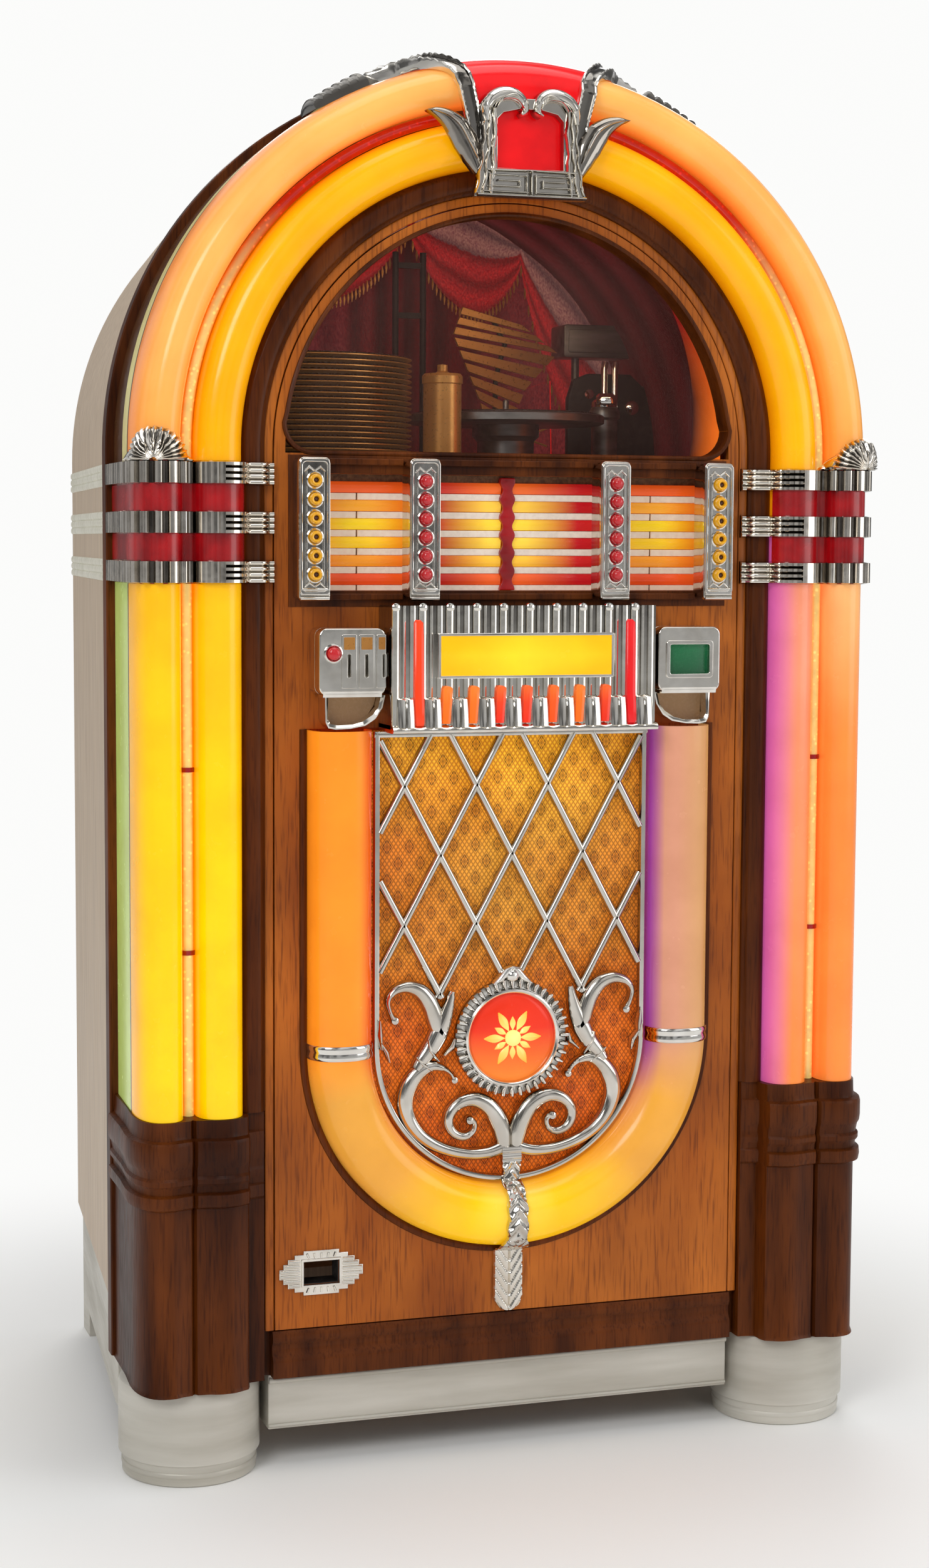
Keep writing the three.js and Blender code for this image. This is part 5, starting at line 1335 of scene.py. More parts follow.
UPPER_SCROLL = ((-134, 493), (-139, 503), (-141, 515), (-134, 525), (-120, 529), (-105, 524), (-94, 511),
                (-88, 496), (-84, 482), (-78, 474))
UPPER_WIDTHS = (9, 6, 7, 10, 14, 17, 19, 20, 18, 12)
FLANK = ((-68, 522), (-72, 506), (-77, 490), (-84, 474), (-92, 460), (-101, 449), (-109, 438))
FLANK_WIDTHS = (7, 13, 18, 22, 20, 17, 13)
LOWER_SCROLL = ((-66, 424), (-71, 432), (-80, 438), (-93, 440), (-107, 433), (-117, 419), (-121, 402),
                (-117, 384), (-106, 367), (-90, 354), (-70, 345), (-48, 340), (-26, 340), (-8, 345))
LOWER_WIDTHS = (7, 6, 9, 13, 18, 20, 19, 17, 15, 14, 13, 13, 14, 16)
VOLUTE = ((-7, 344), (-9, 360), (-14, 376), (-24, 391), (-40, 400), (-56, 399), (-68, 390), (-72, 377),
          (-66, 365), (-54, 360), (-44, 365), (-42, 374), (-48, 379))
VOLUTE_WIDTHS = (15, 20, 22, 20, 17, 15, 13, 12, 11, 10, 8, 7, 9)


def smooth(points, widths):
    """A finer path through the points, with its widths (Catmull and Rom)."""
    path, sizes = [], []
    for i in range(len(points) - 1):
        before, start = points[max(i - 1, 0)], points[i]
        end, after = points[i + 1], points[min(i + 2, len(points) - 1)]
        for t in (0, 0.2, 0.4, 0.6, 0.8):
            path.append(tuple(
                0.5 * (2 * b + (c - a) * t + (2 * a - 5 * b + 4 * c - d) * t * t
                       + (3 * b - a - 3 * c + d) * t ** 3)
                for a, b, c, d in zip(before, start, end, after)
            ))
            sizes.append(widths[i] + (widths[i + 1] - widths[i]) * t)
    return path + [points[-1]], sizes + [widths[-1]]


def make_grille():
    shapes = []
    border = [(157, -1.9), (157, -6), (156, -8.4), (153.5, -9), (151, -8), (150, -5), (150, -1.9)]
    shapes.append(sweep(border, u_stations(807.3, 64, 24)))
    shapes.append(drawn(((-1.9, 807.2), (-8, 807.2), (-9, 805), (-8, 801), (-1.9, 800)), -156.8, 156.8))
    shapes += crossing_bars()
    for points, widths in ((UPPER_SCROLL, UPPER_WIDTHS), (FLANK, FLANK_WIDTHS), (LOWER_SCROLL, LOWER_WIDTHS),
                           (VOLUTE, VOLUTE_WIDTHS)):
        path, sizes = smooth(points, widths)
        shapes += both(stroke(path, sizes, -13, -2.2, 0.55))
    for x, z, reach in ((-134, 493, 5.5), (-66, 424, 5), (-48, 378, 5.5)):
        shapes += both(turned_y([(0, -2.5), (reach, -2.5), (reach, -9), (reach * 0.7, -12.4), (0, -14)], 18,
                                x, z))
    leaf = [stroke([(x0, z0), ((x0 + x1) / 2 + dx, (z0 + z1) / 2), (x1, z1)], [2, 7, 2], -13.5, -3)
            for x0, z0, x1, z1, dx in ((-96, 470, -84, 446, -4), (-110, 452, -92, 436, -2),
                                       (-78, 452, -66, 470, 4), (-150, 470, -140, 448, 2),
                                       (-151, 494, -149, 462, 0))]
    shapes += leaf + [mirrored(part) for part in leaf]
    # Painted shade: darker towards the back.
    piece("grille_lattice", joined(*shapes), "chrome", DOOR, "chrome", ("grille_casting",), weld=False,
          tint=lambda x, y, z: mix((0.3, 0.28, 0.26), (0.8, 0.78, 0.75), (-y - 2.5) / 5))
    ring = turned_y([(49, -3), (49, -12), (50.5, -14.4), (52.3, -15.4), (54, -14.4), (54.8, -7), (64, -7),
                     (64.5, -6), (64.5, -2)], 96, 0, DIAL_Z)
    teeth = []
    for i in range(40):
        angle = TAU * i / 40
        path = [(r * math.cos(angle), DIAL_Z + r * math.sin(angle)) for r in (55.4, 58, 61.5, 65)]
        teeth.append(stroke(path, [3.2, 5.4, 6.2, 4.4], -15.4, -6, 0.5))
    cap = [stroke([(side * 22, DIAL_Z + 60), (side * 13, DIAL_Z + 66), (side * 6, DIAL_Z + 74),
                   (0, DIAL_Z + 79)],
                  [3, 9, 10, 3], -15, -4) for side in (-1, 1)]
    crest = turned_y([(0, -4), (8, -4), (8, -12), (5, -16), (0, -17.5)], 20, 0, DIAL_Z + 69)
    # Painted shade: dark behind and between the teeth.
    piece("dial_ring", joined(open_ended(ring), crest, *teeth, *cap), "chrome", DOOR, "chrome", weld=False,
          tint=lambda x, y, z: (0.3, 0.28, 0.26) if 55 < math.hypot(x, z - DIAL_Z) and y > -9 else WHITE)

    def dial_tint(x, y, z):
        return mix(srgb(232, 52, 26), srgb(250, 132, 44), ((DIAL_Z - z) / 46 + 0.2) * 0.9)

    bulge = [(49 * math.cos(a), -9 - 4.6 * math.sin(a)) for a in map(math.radians, (15, 30, 45, 60, 75))]
    dome = [(0, -5), (49, -5), (49, -9)] + bulge + [(0, -13.6)]
    piece("dial_face", turned_y(dome, 64, 0, DIAL_Z), "lit", DOOR, "red_plastic", tint=dial_tint)
    petals = []
    for i in range(12):
        angle = TAU * i / 12
        long, half = (24, 4.2) if i % 2 else (33, 5.4)
        rings = []
        for k in range(11):
            share = k / 10
            width = half * math.sin(math.pi * (0.06 + 0.9 * share)) ** 0.8
            reach = 8 + (long - 8) * share
            lift = -13 - 1.8 * math.sin(math.pi * share)
            ring = []
            for across, drop in ((-1, 2.2), (-0.5, 0.4), (0, -0.6), (0.5, 0.4), (1, 2.2)):
                px, pz = reach, width * across
                ring.append((px * math.cos(angle) - pz * math.sin(angle), lift + drop,
                             DIAL_Z + px * math.sin(angle) + pz * math.cos(angle)))
            rings.append(ring)
        petals.append(skin(rings, close_across=False))
    heart = turned_y([(9, -12.6), (9, -15.4), (6, -17), (0, -17.6)], 24, 0, DIAL_Z)
    piece("dial_rosette", joined(*petals, heart), "lit", DOOR, "amber_plastic", weld=False,
          tint=lambda x, y, z: mix(srgb(255, 244, 150), srgb(246, 190, 60), math.hypot(x, z - DIAL_Z) / 34))


TAIL_TOP, COLLAR_Z, ROPE_Z, TAIL_END = 346, 329, 246, 160


def make_tail():
    def surface(z):
        """Depth of the strap's back, which runs over the U-shaped plastic."""
        r = GRILLE_Z - z
        if r <= 158:
            return -9.0
        if r >= 231:
            return -1.5
        share = min(1.0, abs(r - U_CREST) / (U_HALF + 2.5))
        return min(-2.0, -(U_RISE + 1.6) * (1 - share ** 2.4) ** (1 / 2.4))

    def vein(x, z):
        """How deep in a carved line: V-shaped side veins that meet a middle one."""
        wave = abs((z - 1.5 * abs(x)) / 13.0 % 1 - 0.5)
        return max(1 - wave * 7, 1 - abs(x) / 1.2, 0.0)

    rings = []
    steps, count = 240, 24
    for i in range(steps + 1):
        z = TAIL_TOP + (TAIL_END - TAIL_TOP) * i / steps
        if z > COLLAR_Z:
            half, thick = 12.0, 6.0
        elif z > ROPE_Z:
            half = 10.5 + 2.0 * (COLLAR_Z - z) / (COLLAR_Z - ROPE_Z) + 0.9 * math.sin(z / 3.4)
            thick = 5.0 + 1.2 * abs(math.sin(z / 5.2))
        else:
            half, thick = 17.2, 5.6
            if z < 178:
                half = 17.2 * math.sqrt(max(0.0, 1 - ((178 - z) / 18.6) ** 2)) + 0.3
            if z > 238:
                half = 12.5 + 4.7 * (ROPE_Z - z) / 8
        back = surface(z)
        low = min(back, surface(z + 4), surface(z - 4))
        back = 0.5 * back + 0.5 * low
        section = []
        for k in range(count + 1):
            across = 2 * k / count - 1
            crown = thick * (1 - 0.3 * across ** 2)
            if abs(across) == 1:
                crown = 0.4
            elif z > COLLAR_Z:
                crown = thick * (0.75 + 0.25 * abs(math.sin(z / 2.2)))
            elif z > ROPE_Z:
                crown += 1.6 * math.sin(z / 2.6 + 5 * abs(across)) * (abs(across) < 0.9)
            else:
                crown -= 2.2 * vein(half * across, z)
            section.append((half * across, back - crown, z))
        section += [(half, back + 0.4, z), (-half, back + 0.4, z)]
        rings.append(section)
    piece("grille_tail", skin(rings), "chrome", DOOR, "chrome", sharp=50,
          tint=lambda x, y, z: (0.96, 0.94, 0.9) if z < 240 else (0.8, 0.79, 0.77))


RETURN_X, RETURN_Z = -214, 219


def make_return_plate():
    quarter = ((47, 5.5), (42.5, 5.5), (42.5, 11), (37.5, 11), (37.5, 16), (30, 16), (30, 20.5), (20, 20.5),
               (20, 24.5))
    outline = []
    for across, up, order in ((1, 1, 1), (-1, 1, -1), (-1, -1, 1), (1, -1, -1)):
        outline += [(RETURN_X + across * x, RETURN_Z + up * z) for x, z in quarter[::order]]
    hole = rectangle(*RETURN_SLOT)
    base = plate([outline, hole], -2.4, -0.1, 0.5)
    rim = plate([rectangle(-236.5, -191.5, 203.5, 234.5, 1), hole], -4.2, -1, 0.5)
    rays = []
    for side in (-1, 1):
        for z, reach in ((-13.2, 36), (-8.3, 41), (-2.8, 45.5), (2.8, 45.5), (8.3, 41), (13.2, 36)):
            path = [(RETURN_X + side * 24, RETURN_Z + z), (RETURN_X + side * reach, RETURN_Z + z)]
            rays.append(stroke(path, 3.6, -4.2, -1.6))
    for side in (-1, 1):
        for x in (-14, -7, 0, 7, 14):
            path = [(RETURN_X + x, RETURN_Z + side * 16.5), (RETURN_X + x * 1.15, RETURN_Z + side * 21.5)]
            rays.append(stroke(path, [2.4, 2.8], -4, -1.6))
    piece("return_plate", joined(base, rim, *rays), "chrome", DOOR, "chrome", weld=False,
          tint=(0.97, 0.96, 0.93))
    x0, x1, z0, z1 = RETURN_SLOT
    corners = ((x0, z0, 1, 1), (x1, z0, -1, 1), (x1, z1, -1, -1), (x0, z1, 1, -1))
    pocket = skin([[(x, 24, z), (x, 0.4, z), (x + dx, 0.4, z + dz), (x + dx, 24, z + dz)]
                   for x, z, dx, dz in corners], close_along=True)
    piece("return_lining", pocket, "black", DOOR, "walnut")


SPEAKER_Z = 615


def make_speaker():
    basket = turned_y([(62, 100), (62, 132), (0, 132), (0, 86), (60, 86), (118, 52), (140, 34), (140, 30.5),
                       (152, 30.5), (152, 24.4), (139, 24.4), (128, 30), (60, 64), (34, 68), (26, 60),
                       (0, 58)],
                      64, 0, SPEAKER_Z)
    bolts = []
    for i in range(8):
        angle = TAU * (i + 0.5) / 8
        bolts.append(turned_y([(0, 30), (4, 30), (4, 33.5), (0, 34)], 6, 145 * math.cos(angle),
                              SPEAKER_Z + 145 * math.sin(angle)))
    piece("speaker_drive", basket, "black", DOOR, "speaker_black", ("speaker",))
    piece("speaker_bolts", joined(*bolts), "steel", DOOR, "steel")
    cap = turned_y([(64, 99), (66, 100), (66, 128), (62, 132.6), (0, 132.6), (0, 99)], 48, 0, SPEAKER_Z)
    piece("speaker_magnet", cap, "steel", DOOR, "steel")


make_grille()
make_tail()
make_return_plate()
make_speaker()


# Crown: red saddle over the outer plastic, ribbons with fluted ends, and the keystone
RIBBON_PATH = ((-33, 8.7), (-20, 10.4), (-5, 12), (10, 13), (25, 14.3), (35, 16.4), (45, 18.8), (60, 19.6),
               (130, 19.6))
RIBBON_LIFT = ((-38, 0), (-20, 1), (0, 5), (15, 6.6), (45, 7.5), (70, 2), (130, 0))
RIBBON_WIDTH = 2.95


def along(table, place):
    """Value at a place in a table of places and values."""
    for (start, low), (end, high) in zip(table, table[1:]):
        if place <= end:
            return low + (high - low) * max(0.0, (place - start) / (end - start))
    return table[-1][1]


def ribbon_edge(y):
    """Angle from the top at which a ribbon's inner edge lies, at a depth."""
    return along(RIBBON_PATH, y)


def ribbon_front(r):
    """The same on the front face, by radius."""
    return 8.3 + (0.01 * (r - 348) if r > 348 else 0.019 * (348 - r))


def saddle_rows():
    """Rows over the outer plastic from its crest to the cabinet band, with their outward directions."""
    line = [(r, y) for r, y in outer_lobe(0.8) if r >= 388] + outer_side(0.8, 60, 90, 125)
    points, _ = resampled(line, 3.4)
    return with_normals(points)


def make_saddle():
    rows = [(r, -38.4, 0, -1, 8.9) for r in range(292, 388, 8)]
    rows += [(r, y, nr, ny, ribbon_edge(y) + 0.6) for r, y, nr, ny in saddle_rows()]
    rings = []
    for r, y, nr, ny, half in rows:
        rise = 2.0 if y > -38 else 0
        base = (r, y + 2.4) if y < -38 else (r + nr * 0.4, y + ny * 0.4)
        angles = [half * (2 * i / 28 - 1) for i in range(29)]
        rings.append([on_arch(r + nr * rise, y + ny * rise, angle) for angle in angles]
                     + [on_arch(*base, angle) for angle in reversed(angles)])
    piece("crown_saddle", skin(rings), "lit_red", slot="red_plastic", stands_for=("crown_plastic",),
          weld=False)


RIBBON_PROFILE = ((0, 0.4), (0.02, 6.6), (0.07, 9.2), (0.13, 9.8), (0.2, 8.6), (0.23, 6.4), (0.36, 6.9),
                  (0.5, 7.1), (0.64, 6.9), (0.77, 6.4), (0.8, 8.6), (0.87, 9.8), (0.93, 9.2), (0.98, 6.6),
                  (1, 0.4))
FLUTES_START, FLUTES_SPREAD = 22.0, 9


def make_ribbons():
    rings = []
    for k, (r, y, nr, ny) in enumerate([(r, -38.6, 0, -1) for r in range(300, 388, 3)] + saddle_rows()):
        edge = ribbon_edge(y) if y > -38 else ribbon_front(r)
        ring = []
        for share, rise in RIBBON_PROFILE:
            beads = 1 + 0.09 * (1 if k % 2 else -1) * (0.05 < share < 0.21 or 0.79 < share < 0.95)
            lift = rise * beads * (0.62 if y < -38 else 0.62 + 0.38 * min(1, (y + 38) / 20))
            if 0 < share < 1:
                lift += along(RIBBON_LIFT, y) * (1 - 0.35 * share)
            ring.append(on_arch(r + nr * lift, y + ny * lift, edge + RIBBON_WIDTH * share))
        rings.append(ring)
    ribbons = both(skin(rings))
    rings = []
    for r, y, nr, ny in saddle_rows():
        if not 18 < y < 84:
            continue
        ring = [on_arch(r + nr * 0.4, y + ny * 0.4, FLUTES_START)]
        swell = max(0.05, math.sin(math.pi * (y - 15) / 72)) ** 0.4
        for i in range(49):
            share = i / 48
            roll = abs(math.sin(share * 6 * math.pi)) ** 0.7
            rise = 2 + (9 + 9 * roll) * (1 - 0.3 * share) * swell
            ring.append(on_arch(r + nr * rise, y + ny * rise, FLUTES_START + FLUTES_SPREAD * share))
        ring.append(on_arch(r + nr * 0.4, y + ny * 0.4, FLUTES_START + FLUTES_SPREAD))
        rings.append(ring)

    # Painted shade: dark in the channel between each ribbon's two beads.
    def ribbon_tint(x, y, z):
        angle = abs(math.degrees(math.atan2(x, z - ARCH_Z)))
        edge = ribbon_edge(y) if y > -38 else ribbon_front(min(math.hypot(x, z - ARCH_Z), 388))
        share = (angle - edge) / RIBBON_WIDTH
        return (0.26, 0.25, 0.24) if 0.215 < share < 0.785 else (0.96, 0.95, 0.93)

    piece("crown_ribbons", joined(*ribbons), "chrome", slot="chrome", tint=ribbon_tint, weld=False, sharp=30)
    # Painted shade: darker where the flutes are low, lighter where they stand out.
    piece("crown_flutes", joined(*both(skin(rings))), "chrome", slot="chrome", weld=False,
          tint=lambda x, y, z: mix((0.2, 0.19, 0.18), (0.95, 0.93, 0.9),
                                   (math.hypot(x, z - ARCH_Z) - 424) / 7))


def make_keystone():
    half = [(62, 1371), (61, 1378), (57, 1394), (52.5, 1404), (51, 1430), (52, 1462), (46, 1473), (24, 1480),
            (4, 1474)]
    outline = half + [(-x, z) for x, z in half[::-1]]
    window = [(-36.5, 1401.5), (37, 1401.5), (36.8, 1452), (30, 1459), (12, 1463), (-12, 1463), (-30, 1459),
              (-36.8, 1452)]
    shapes = [plate([outline, window], -52, -40, 0.8)]
    for side in (-1, 1):
        for number, (x, width, front) in enumerate(((40.5, 5.5, -57.4), (46, 4.6, -55.8),
                                                    (50.6, 3.8, -54.6))):
            path, widths = [], []
            for i in range(25):
                share = i / 24
                flare = (1 - share) ** 2.2
                sway = 0.9 * math.sin(share * (15 + 4 * number) + number)
                path.append((side * (x + flare * (4 + 2.6 * number) + sway), 1374 + (1462 - 1374) * share))
                widths.append(width + 1.5 * math.sin(share * (19 + 5 * number)) ** 2 - 0.6)
            shapes.append(stroke(path, widths, front, -44, 0.5))
        leaf, sizes = smooth(((113, 1458), (102, 1457), (90, 1452), (79, 1443), (69, 1428), (61, 1411),
                              (56, 1396)),
                             (0.8, 10, 18, 25, 27, 21, 8))
        shapes.append(stroke([(side * x, z) for x, z in leaf], sizes, -49.5, -38.4, 0.5))
        vein, sizes = smooth(((106, 1457.5), (90, 1453), (76, 1444), (66, 1428), (58, 1410)), (1, 3, 5, 5, 2))
        shapes.append(stroke([(side * x, z) for x, z in vein], sizes, -52.5, -46, 0.5))
        curl, sizes = smooth(((50, 1449), (50, 1461), (44, 1471), (33, 1477), (20, 1477.5), (10, 1471),
                              (7, 1461), (12, 1456)), (7, 11, 15, 17, 16, 13, 9, 4))
        shapes.append(stroke([(side * x, z) for x, z in curl], sizes, -58.6, -42, 0.5))
        for reach in (0, 1, 2):
            rib, sizes = smooth(((46 - 3 * reach, 1462), (40 - 3 * reach, 1469 + reach),
                                 (29 - 2 * reach, 1473 + 1.5 * reach), (17, 1472 + 2 * reach),
                                 (9.5 + reach, 1463 + 2 * reach)), (1.4, 2.4, 3, 2.6, 1.2))
            shapes.append(stroke([(side * x, z) for x, z in rib], sizes, -59.8, -54, 0.5))
    shapes.append(stroke([(-60.5, 1372.6), (0, 1372.6), (60.5, 1372.6)], 4, -59.6, -50))
    shapes.append(stroke([(-50, 1398.6), (0, 1399.4), (50, 1398.6)], 3.6, -58.6, -48))
    shapes.append(stroke([(0, 1374), (0, 1399)], 3.4, -58.8, -48))
    fret = ((52, 1376.6), (5, 1376.6), (5, 1394), (46, 1394), (46, 1382.4), (13, 1382.4), (13, 1388.4),
            (36, 1388.4))
    overlap = 1.1
    for side in (-1, 1):
        for (x0, z0), (x1, z1) in zip(fret, fret[1:]):
            dx, dz = (overlap * ((b > a) - (b < a)) for a, b in ((x0, x1), (z0, z1)))
            shapes.append(stroke([(side * (x0 - dx), z0 - dz), (side * (x1 + dx), z1 + dz)], 2.4, -57.2, -50,
                                 0.4))
    # Painted shade: darker towards the back.
    piece("crown_keystone", joined(*shapes), "chrome", slot="chrome", stands_for=("crown_casting",),
          weld=False, tint=lambda x, y, z: mix((0.36, 0.34, 0.32), (0.97, 0.96, 0.93), (-y - 49) / 7))


make_saddle()
make_ribbons()
make_keystone()


# Backdrop behind the dome: gathered curtain with three swags
CURTAIN_Y = 552.0
CURTAIN_RADIUS = 344.0
CURTAIN_LOW = 946.0


def flat_area(points, faces):
    total = 0.0
    for face in faces:
        a, b, c, d = (Vector(points[i]) for i in face)
        total += ((b - a).cross(c - a).length + (c - a).cross(d - a).length) / 2
    return total / 1e6


def run_length(line):
    return sum(math.dist(a, b) for a, b in zip(line, line[1:]))


def arch_limit(x, radius):
    return ARCH_Z + math.sqrt(max(0.0, radius ** 2 - x ** 2))


def make_curtain():
    columns, rows = 300, 40
    grid = []
    for i in range(rows + 1):
        row = []
        for j in range(columns + 1):
            x = CURTAIN_RADIUS * (2 * j / columns - 1)
            top = arch_limit(x * 0.999, CURTAIN_RADIUS)
            z = CURTAIN_LOW + (top - CURTAIN_LOW) * (1 - i / rows)
            fold = 5.2 * math.sin(x / 6.2 + 0.6 * math.sin(x / 31)) * (0.55 + 0.45 * math.sin(x / 57 + 1))
            row.append((x, CURTAIN_Y + fold, z))
        grid.append(row)
    shape = skin(grid, close_across=False)
    across = run_length([point[:2] for point in grid[0]]) * MM

    # Painted light: shade in the back of each fold, a pale painted reflection over the left side, darkest in
    # the middle, and a paler painted glow on the right.
    def tint(x, y, z):
        shade = 0.35 + 0.75 * (CURTAIN_Y + 5 - y) / 10
        left = mix((0.8, 4.5, 4.0), (0.3, 0.4, 0.4), (x + 120) / 120)
        glow = mix(left, (0.75, 2.4, 2.2), (x - 110) / 110)
        return tuple(c * shade for c in glow)

    cloth = piece("backdrop_curtain", shape, "curtain", slot="cloth", tint=tint, weld=False)
    flat_area(*shape)


SWAG_Y = 518


def swag_top(x):
    return min(1432, arch_limit(x, CURTAIN_RADIUS) - 6)


def swag_sag(u, drop):
    """How far a swag hangs at a share of its width."""
    return 30 + drop * math.sin(math.pi * u) ** 0.8


def make_swags():
    for number, (x0, x1, drop) in enumerate(((-200, 34, 92), (34, 184, 96), (184, 330, 150)), 1):
        columns, rows = 70, 60
        grid = []
        for i in range(rows + 1):
            v = i / rows
            row = []
            for j in range(columns + 1):
                u = j / columns
                x = x0 + (x1 - x0) * u
                wave = 5 * math.sin(v * 22 + 0.8 * math.sin(4 * u))
                fold = wave * math.sin(math.pi * u) ** 0.5 * (1 - 0.2 * v)
                row.append((x, SWAG_Y - 10 * math.sin(math.pi * u) + fold,
                            swag_top(x) - swag_sag(u, drop) * v))
            grid.append(row)
        shape = skin(grid, close_across=False)
        width = max(run_length(row) for row in grid[::10]) * MM
        length = max(run_length(column) for column in list(zip(*grid))[::10]) * MM

        # Painted light: shade and highlight along the folds, and a pale painted reflection over the upper
        # part of each swag.
        def tint(x, y, z, x0=x0, x1=x1, drop=drop):
            u = (x - x0) / (x1 - x0)
            v = (swag_top(x) - z) / swag_sag(min(1, max(0, u)), drop)
            line = 0.6 + 0.4 * math.sin(v * 22 + 0.8 * math.sin(4 * u) + 1.2)
            if v > 0.75 or x0 > 0 and v > 0.4:
                return mix((0.4, 0.5, 0.5), (1.3, 1.4, 1.3), line)
            return mix((0.3, 4.5, 3.6), (0.95, 14, 8.6), line)

        cloth = piece(f"backdrop_swag_{number}", shape, "curtain", slot="cloth", tint=tint, weld=False)
        fringe = []
        count = int((x1 - x0) / 5)
        for k in range(count + 1):
            u = k / count
            x = x0 + (x1 - x0) * u
            y, z = SWAG_Y - 10 * math.sin(math.pi * u), swag_top(x) - swag_sag(u, drop)
            fringe.append(tube([(x, y - 1, z + 2), (x, y - 1.5, z - 5), (x, y - 1, z - 12)], [0.7, 1.7, 0.5],
                               6))
        tassels = piece(f"backdrop_fringe_{number}", joined(*fringe), "gold", slot="cloth", weld=False)
        min(flat_area(*shape), width * length)


make_curtain()
make_swags()


# Record changer: discs on trays, turntable, arm, carrier and housings
STACK_AT, PLATTER_AT, ARM_AT = (-158, 300), (92, 300), (235, 345)
TRAY_PITCH, FIRST_TRAY_Z, TRAY_COUNT = 6.25, 976.0, 40


def make_stack():
    discs, trays = [], []
    for i in range(TRAY_COUNT):
        z = FIRST_TRAY_Z + TRAY_PITCH * i
        disc = [(14, z + 2.2), (122, z + 2.2), (123, z + 3), (122, z + 3.8), (14, z + 3.8)]
        tray = [(14, z), (124.6, z), (127, z + 0.5), (127, z + 1.5), (124.6, z + 2), (14, z + 2)]
        discs.append(turned(disc, 56, *STACK_AT))
        trays.append(turned(tray, 56, *STACK_AT))
    hub = turned([(14, 975), (14, 1224.6), (5, 1225), (0, 1225)], 24, *STACK_AT)
    piece("disc_stack", joined(*discs, hub), "vinyl", slot="black_disc", stands_for=("record_stack",),
          weld=False)
    piece("disc_trays", joined(*trays), "gold", slot="steel", weld=False)


def make_mechanism():
    front, rear = shell_radius(165) - 16.3, shell_radius(560) - 16.3
    shelf = slab([[(-front, 165), (front, 165), (rear, 560), (-rear, 560)]], 930, 945, 0.8)
    piece("mechanism_shelf", shelf, "board", slot="steel", stands_for=("mechanism_frame",))
    posts = [turned([(14, 944.8), (22, 945), (22, 950), (14, 953), (14, 974.7)], 32, *STACK_AT),
             turned([(34, 944.8), (48, 945), (48, 951), (36, 956), (34, 962), (34, 1130), (40, 1136),
                     (40, 1149.7), (3, 1149.7)], 48, *PLATTER_AT),
             turned([(16, 944.8), (26, 945), (26, 951), (17, 956), (16, 962), (16, 1160), (19, 1163),
                     (19, 1170), (16, 1175.6), (4, 1175.7)], 32, *ARM_AT)]
    rails = [tube([(x, 500, 945), (x, 500, 1150), (x, 500, 1372)], 4.2, 14) for x in (12, 48)]
    rails += [block(10, 50, 497.5, 502.5, z, z + 7) for z in (1290, 1352)]
    piece("changer_posts", joined(*posts), "steel", slot="steel")
    piece("changer_rails", joined(*rails), "black", slot="steel")
    barrel = turned([(0, 945), (24, 945), (24, 950), (22, 953), (22, 1190), (23.4, 1191), (23.4, 1199),
                     (21, 1202), (8, 1203), (6, 1205), (6, 1212), (0, 1213)], 48, -20, 195)
    piece("changer_barrel", barrel, "gold", slot="steel", sharp=30)
    strip = plate([rectangle(40, 58, 945.4, 1190, 1)] + [circle(2, 12, 49, 960 + 11 * k) for k in range(20)],
                  446, 448)
    piece("changer_strip", strip, "black", slot="steel")
    slats = []
    left_edge = ((82, 1292), (70, 1258), (88, 1216), (108, 1170), (112, 1118))
    right_edge = ((160, 1290), (208, 1256), (166, 1212), (146, 1166), (136, 1118))
    count, droop = 11, 9
    for i in range(count):
        corners = []
        for edge, shift, order in ((left_edge, droop, (0, 0.7)), (right_edge, -droop, (0.7, 0))):
            for part in order:
                place = 4 * (i + part) / count
                k = min(3, int(place))
                (x0, z0), (x1, z1) = edge[k], edge[k + 1]
                corners.append((x0 + (x1 - x0) * (place - k), z0 + (z1 - z0) * (place - k) + shift))
        slats.append(plate([corners], 440, 445, 0.6))
    spine = tube([((a + c) / 2, 446, (b + d) / 2) for (a, b), (c, d) in zip(left_edge, right_edge)], 3.4, 10)
    piece("changer_carrier", joined(*slats), "gold", slot="steel", weld=False)
    foot = tube([(124, 446, 1122), (124, 446, 945)], 5, 14)
    piece("changer_spine", joined(spine, foot), "black", slot="steel")
    red_panel = skin([[(x, 462, z), (x, 466, z)] for x, z in ((130, 946), (132, 1190), (206, 1214),
                                                              (212, 946))],
                     close_along=True)
    piece("changer_red_panel", red_panel, "lit_red", slot="red_plastic")
    stripes = [stroke([(134 + 14 * k, 1110 + 10 * k), (186 + 5 * k, 1060 + 24 * k)], 2.6, 459.4, 462.2)
               for k in range(5)]
    piece("changer_stripes", joined(*stripes), "gold", slot="steel", weld=False)
    box = plate([rectangle(216, 312, 1243, 1284, 4)], 440, 490, 1.5)
    lid = plate([rectangle(222, 306, 1249, 1278, 2)], 438, 441, 0.5)
    stem = tube([(240, 465, 1244), (240, 465, 945)], 5, 14)
    piece("relay_box", joined(box, lid, stem), "steel", slot="steel")
    shoulder_outline = [(216, 946), (216, 1190), (224, 1214), (244, 1222), (300, 1222), (316, 1208),
                        (338, 1204), (338, 946)]
    piece("motor_housing", plate([shoulder_outline], 424, 436, 2.5), "black", slot="steel")
    dress = [tube([(x, 418, 946), (x, 418, 1226), (x + 2, 420, 1236)], 4.4, 14) for x in (262, 276)]
    dress += [turned_y([(0, 424), (9, 424), (9, 418), (6, 415), (0, 414)], 24, 300, 1180),
              turned_y([(0, 424), (6, 424), (6, 417), (0, 416)], 20, 242, 1196)]
    piece("motor_fittings", joined(*dress), "chrome", slot="chrome", weld=False)


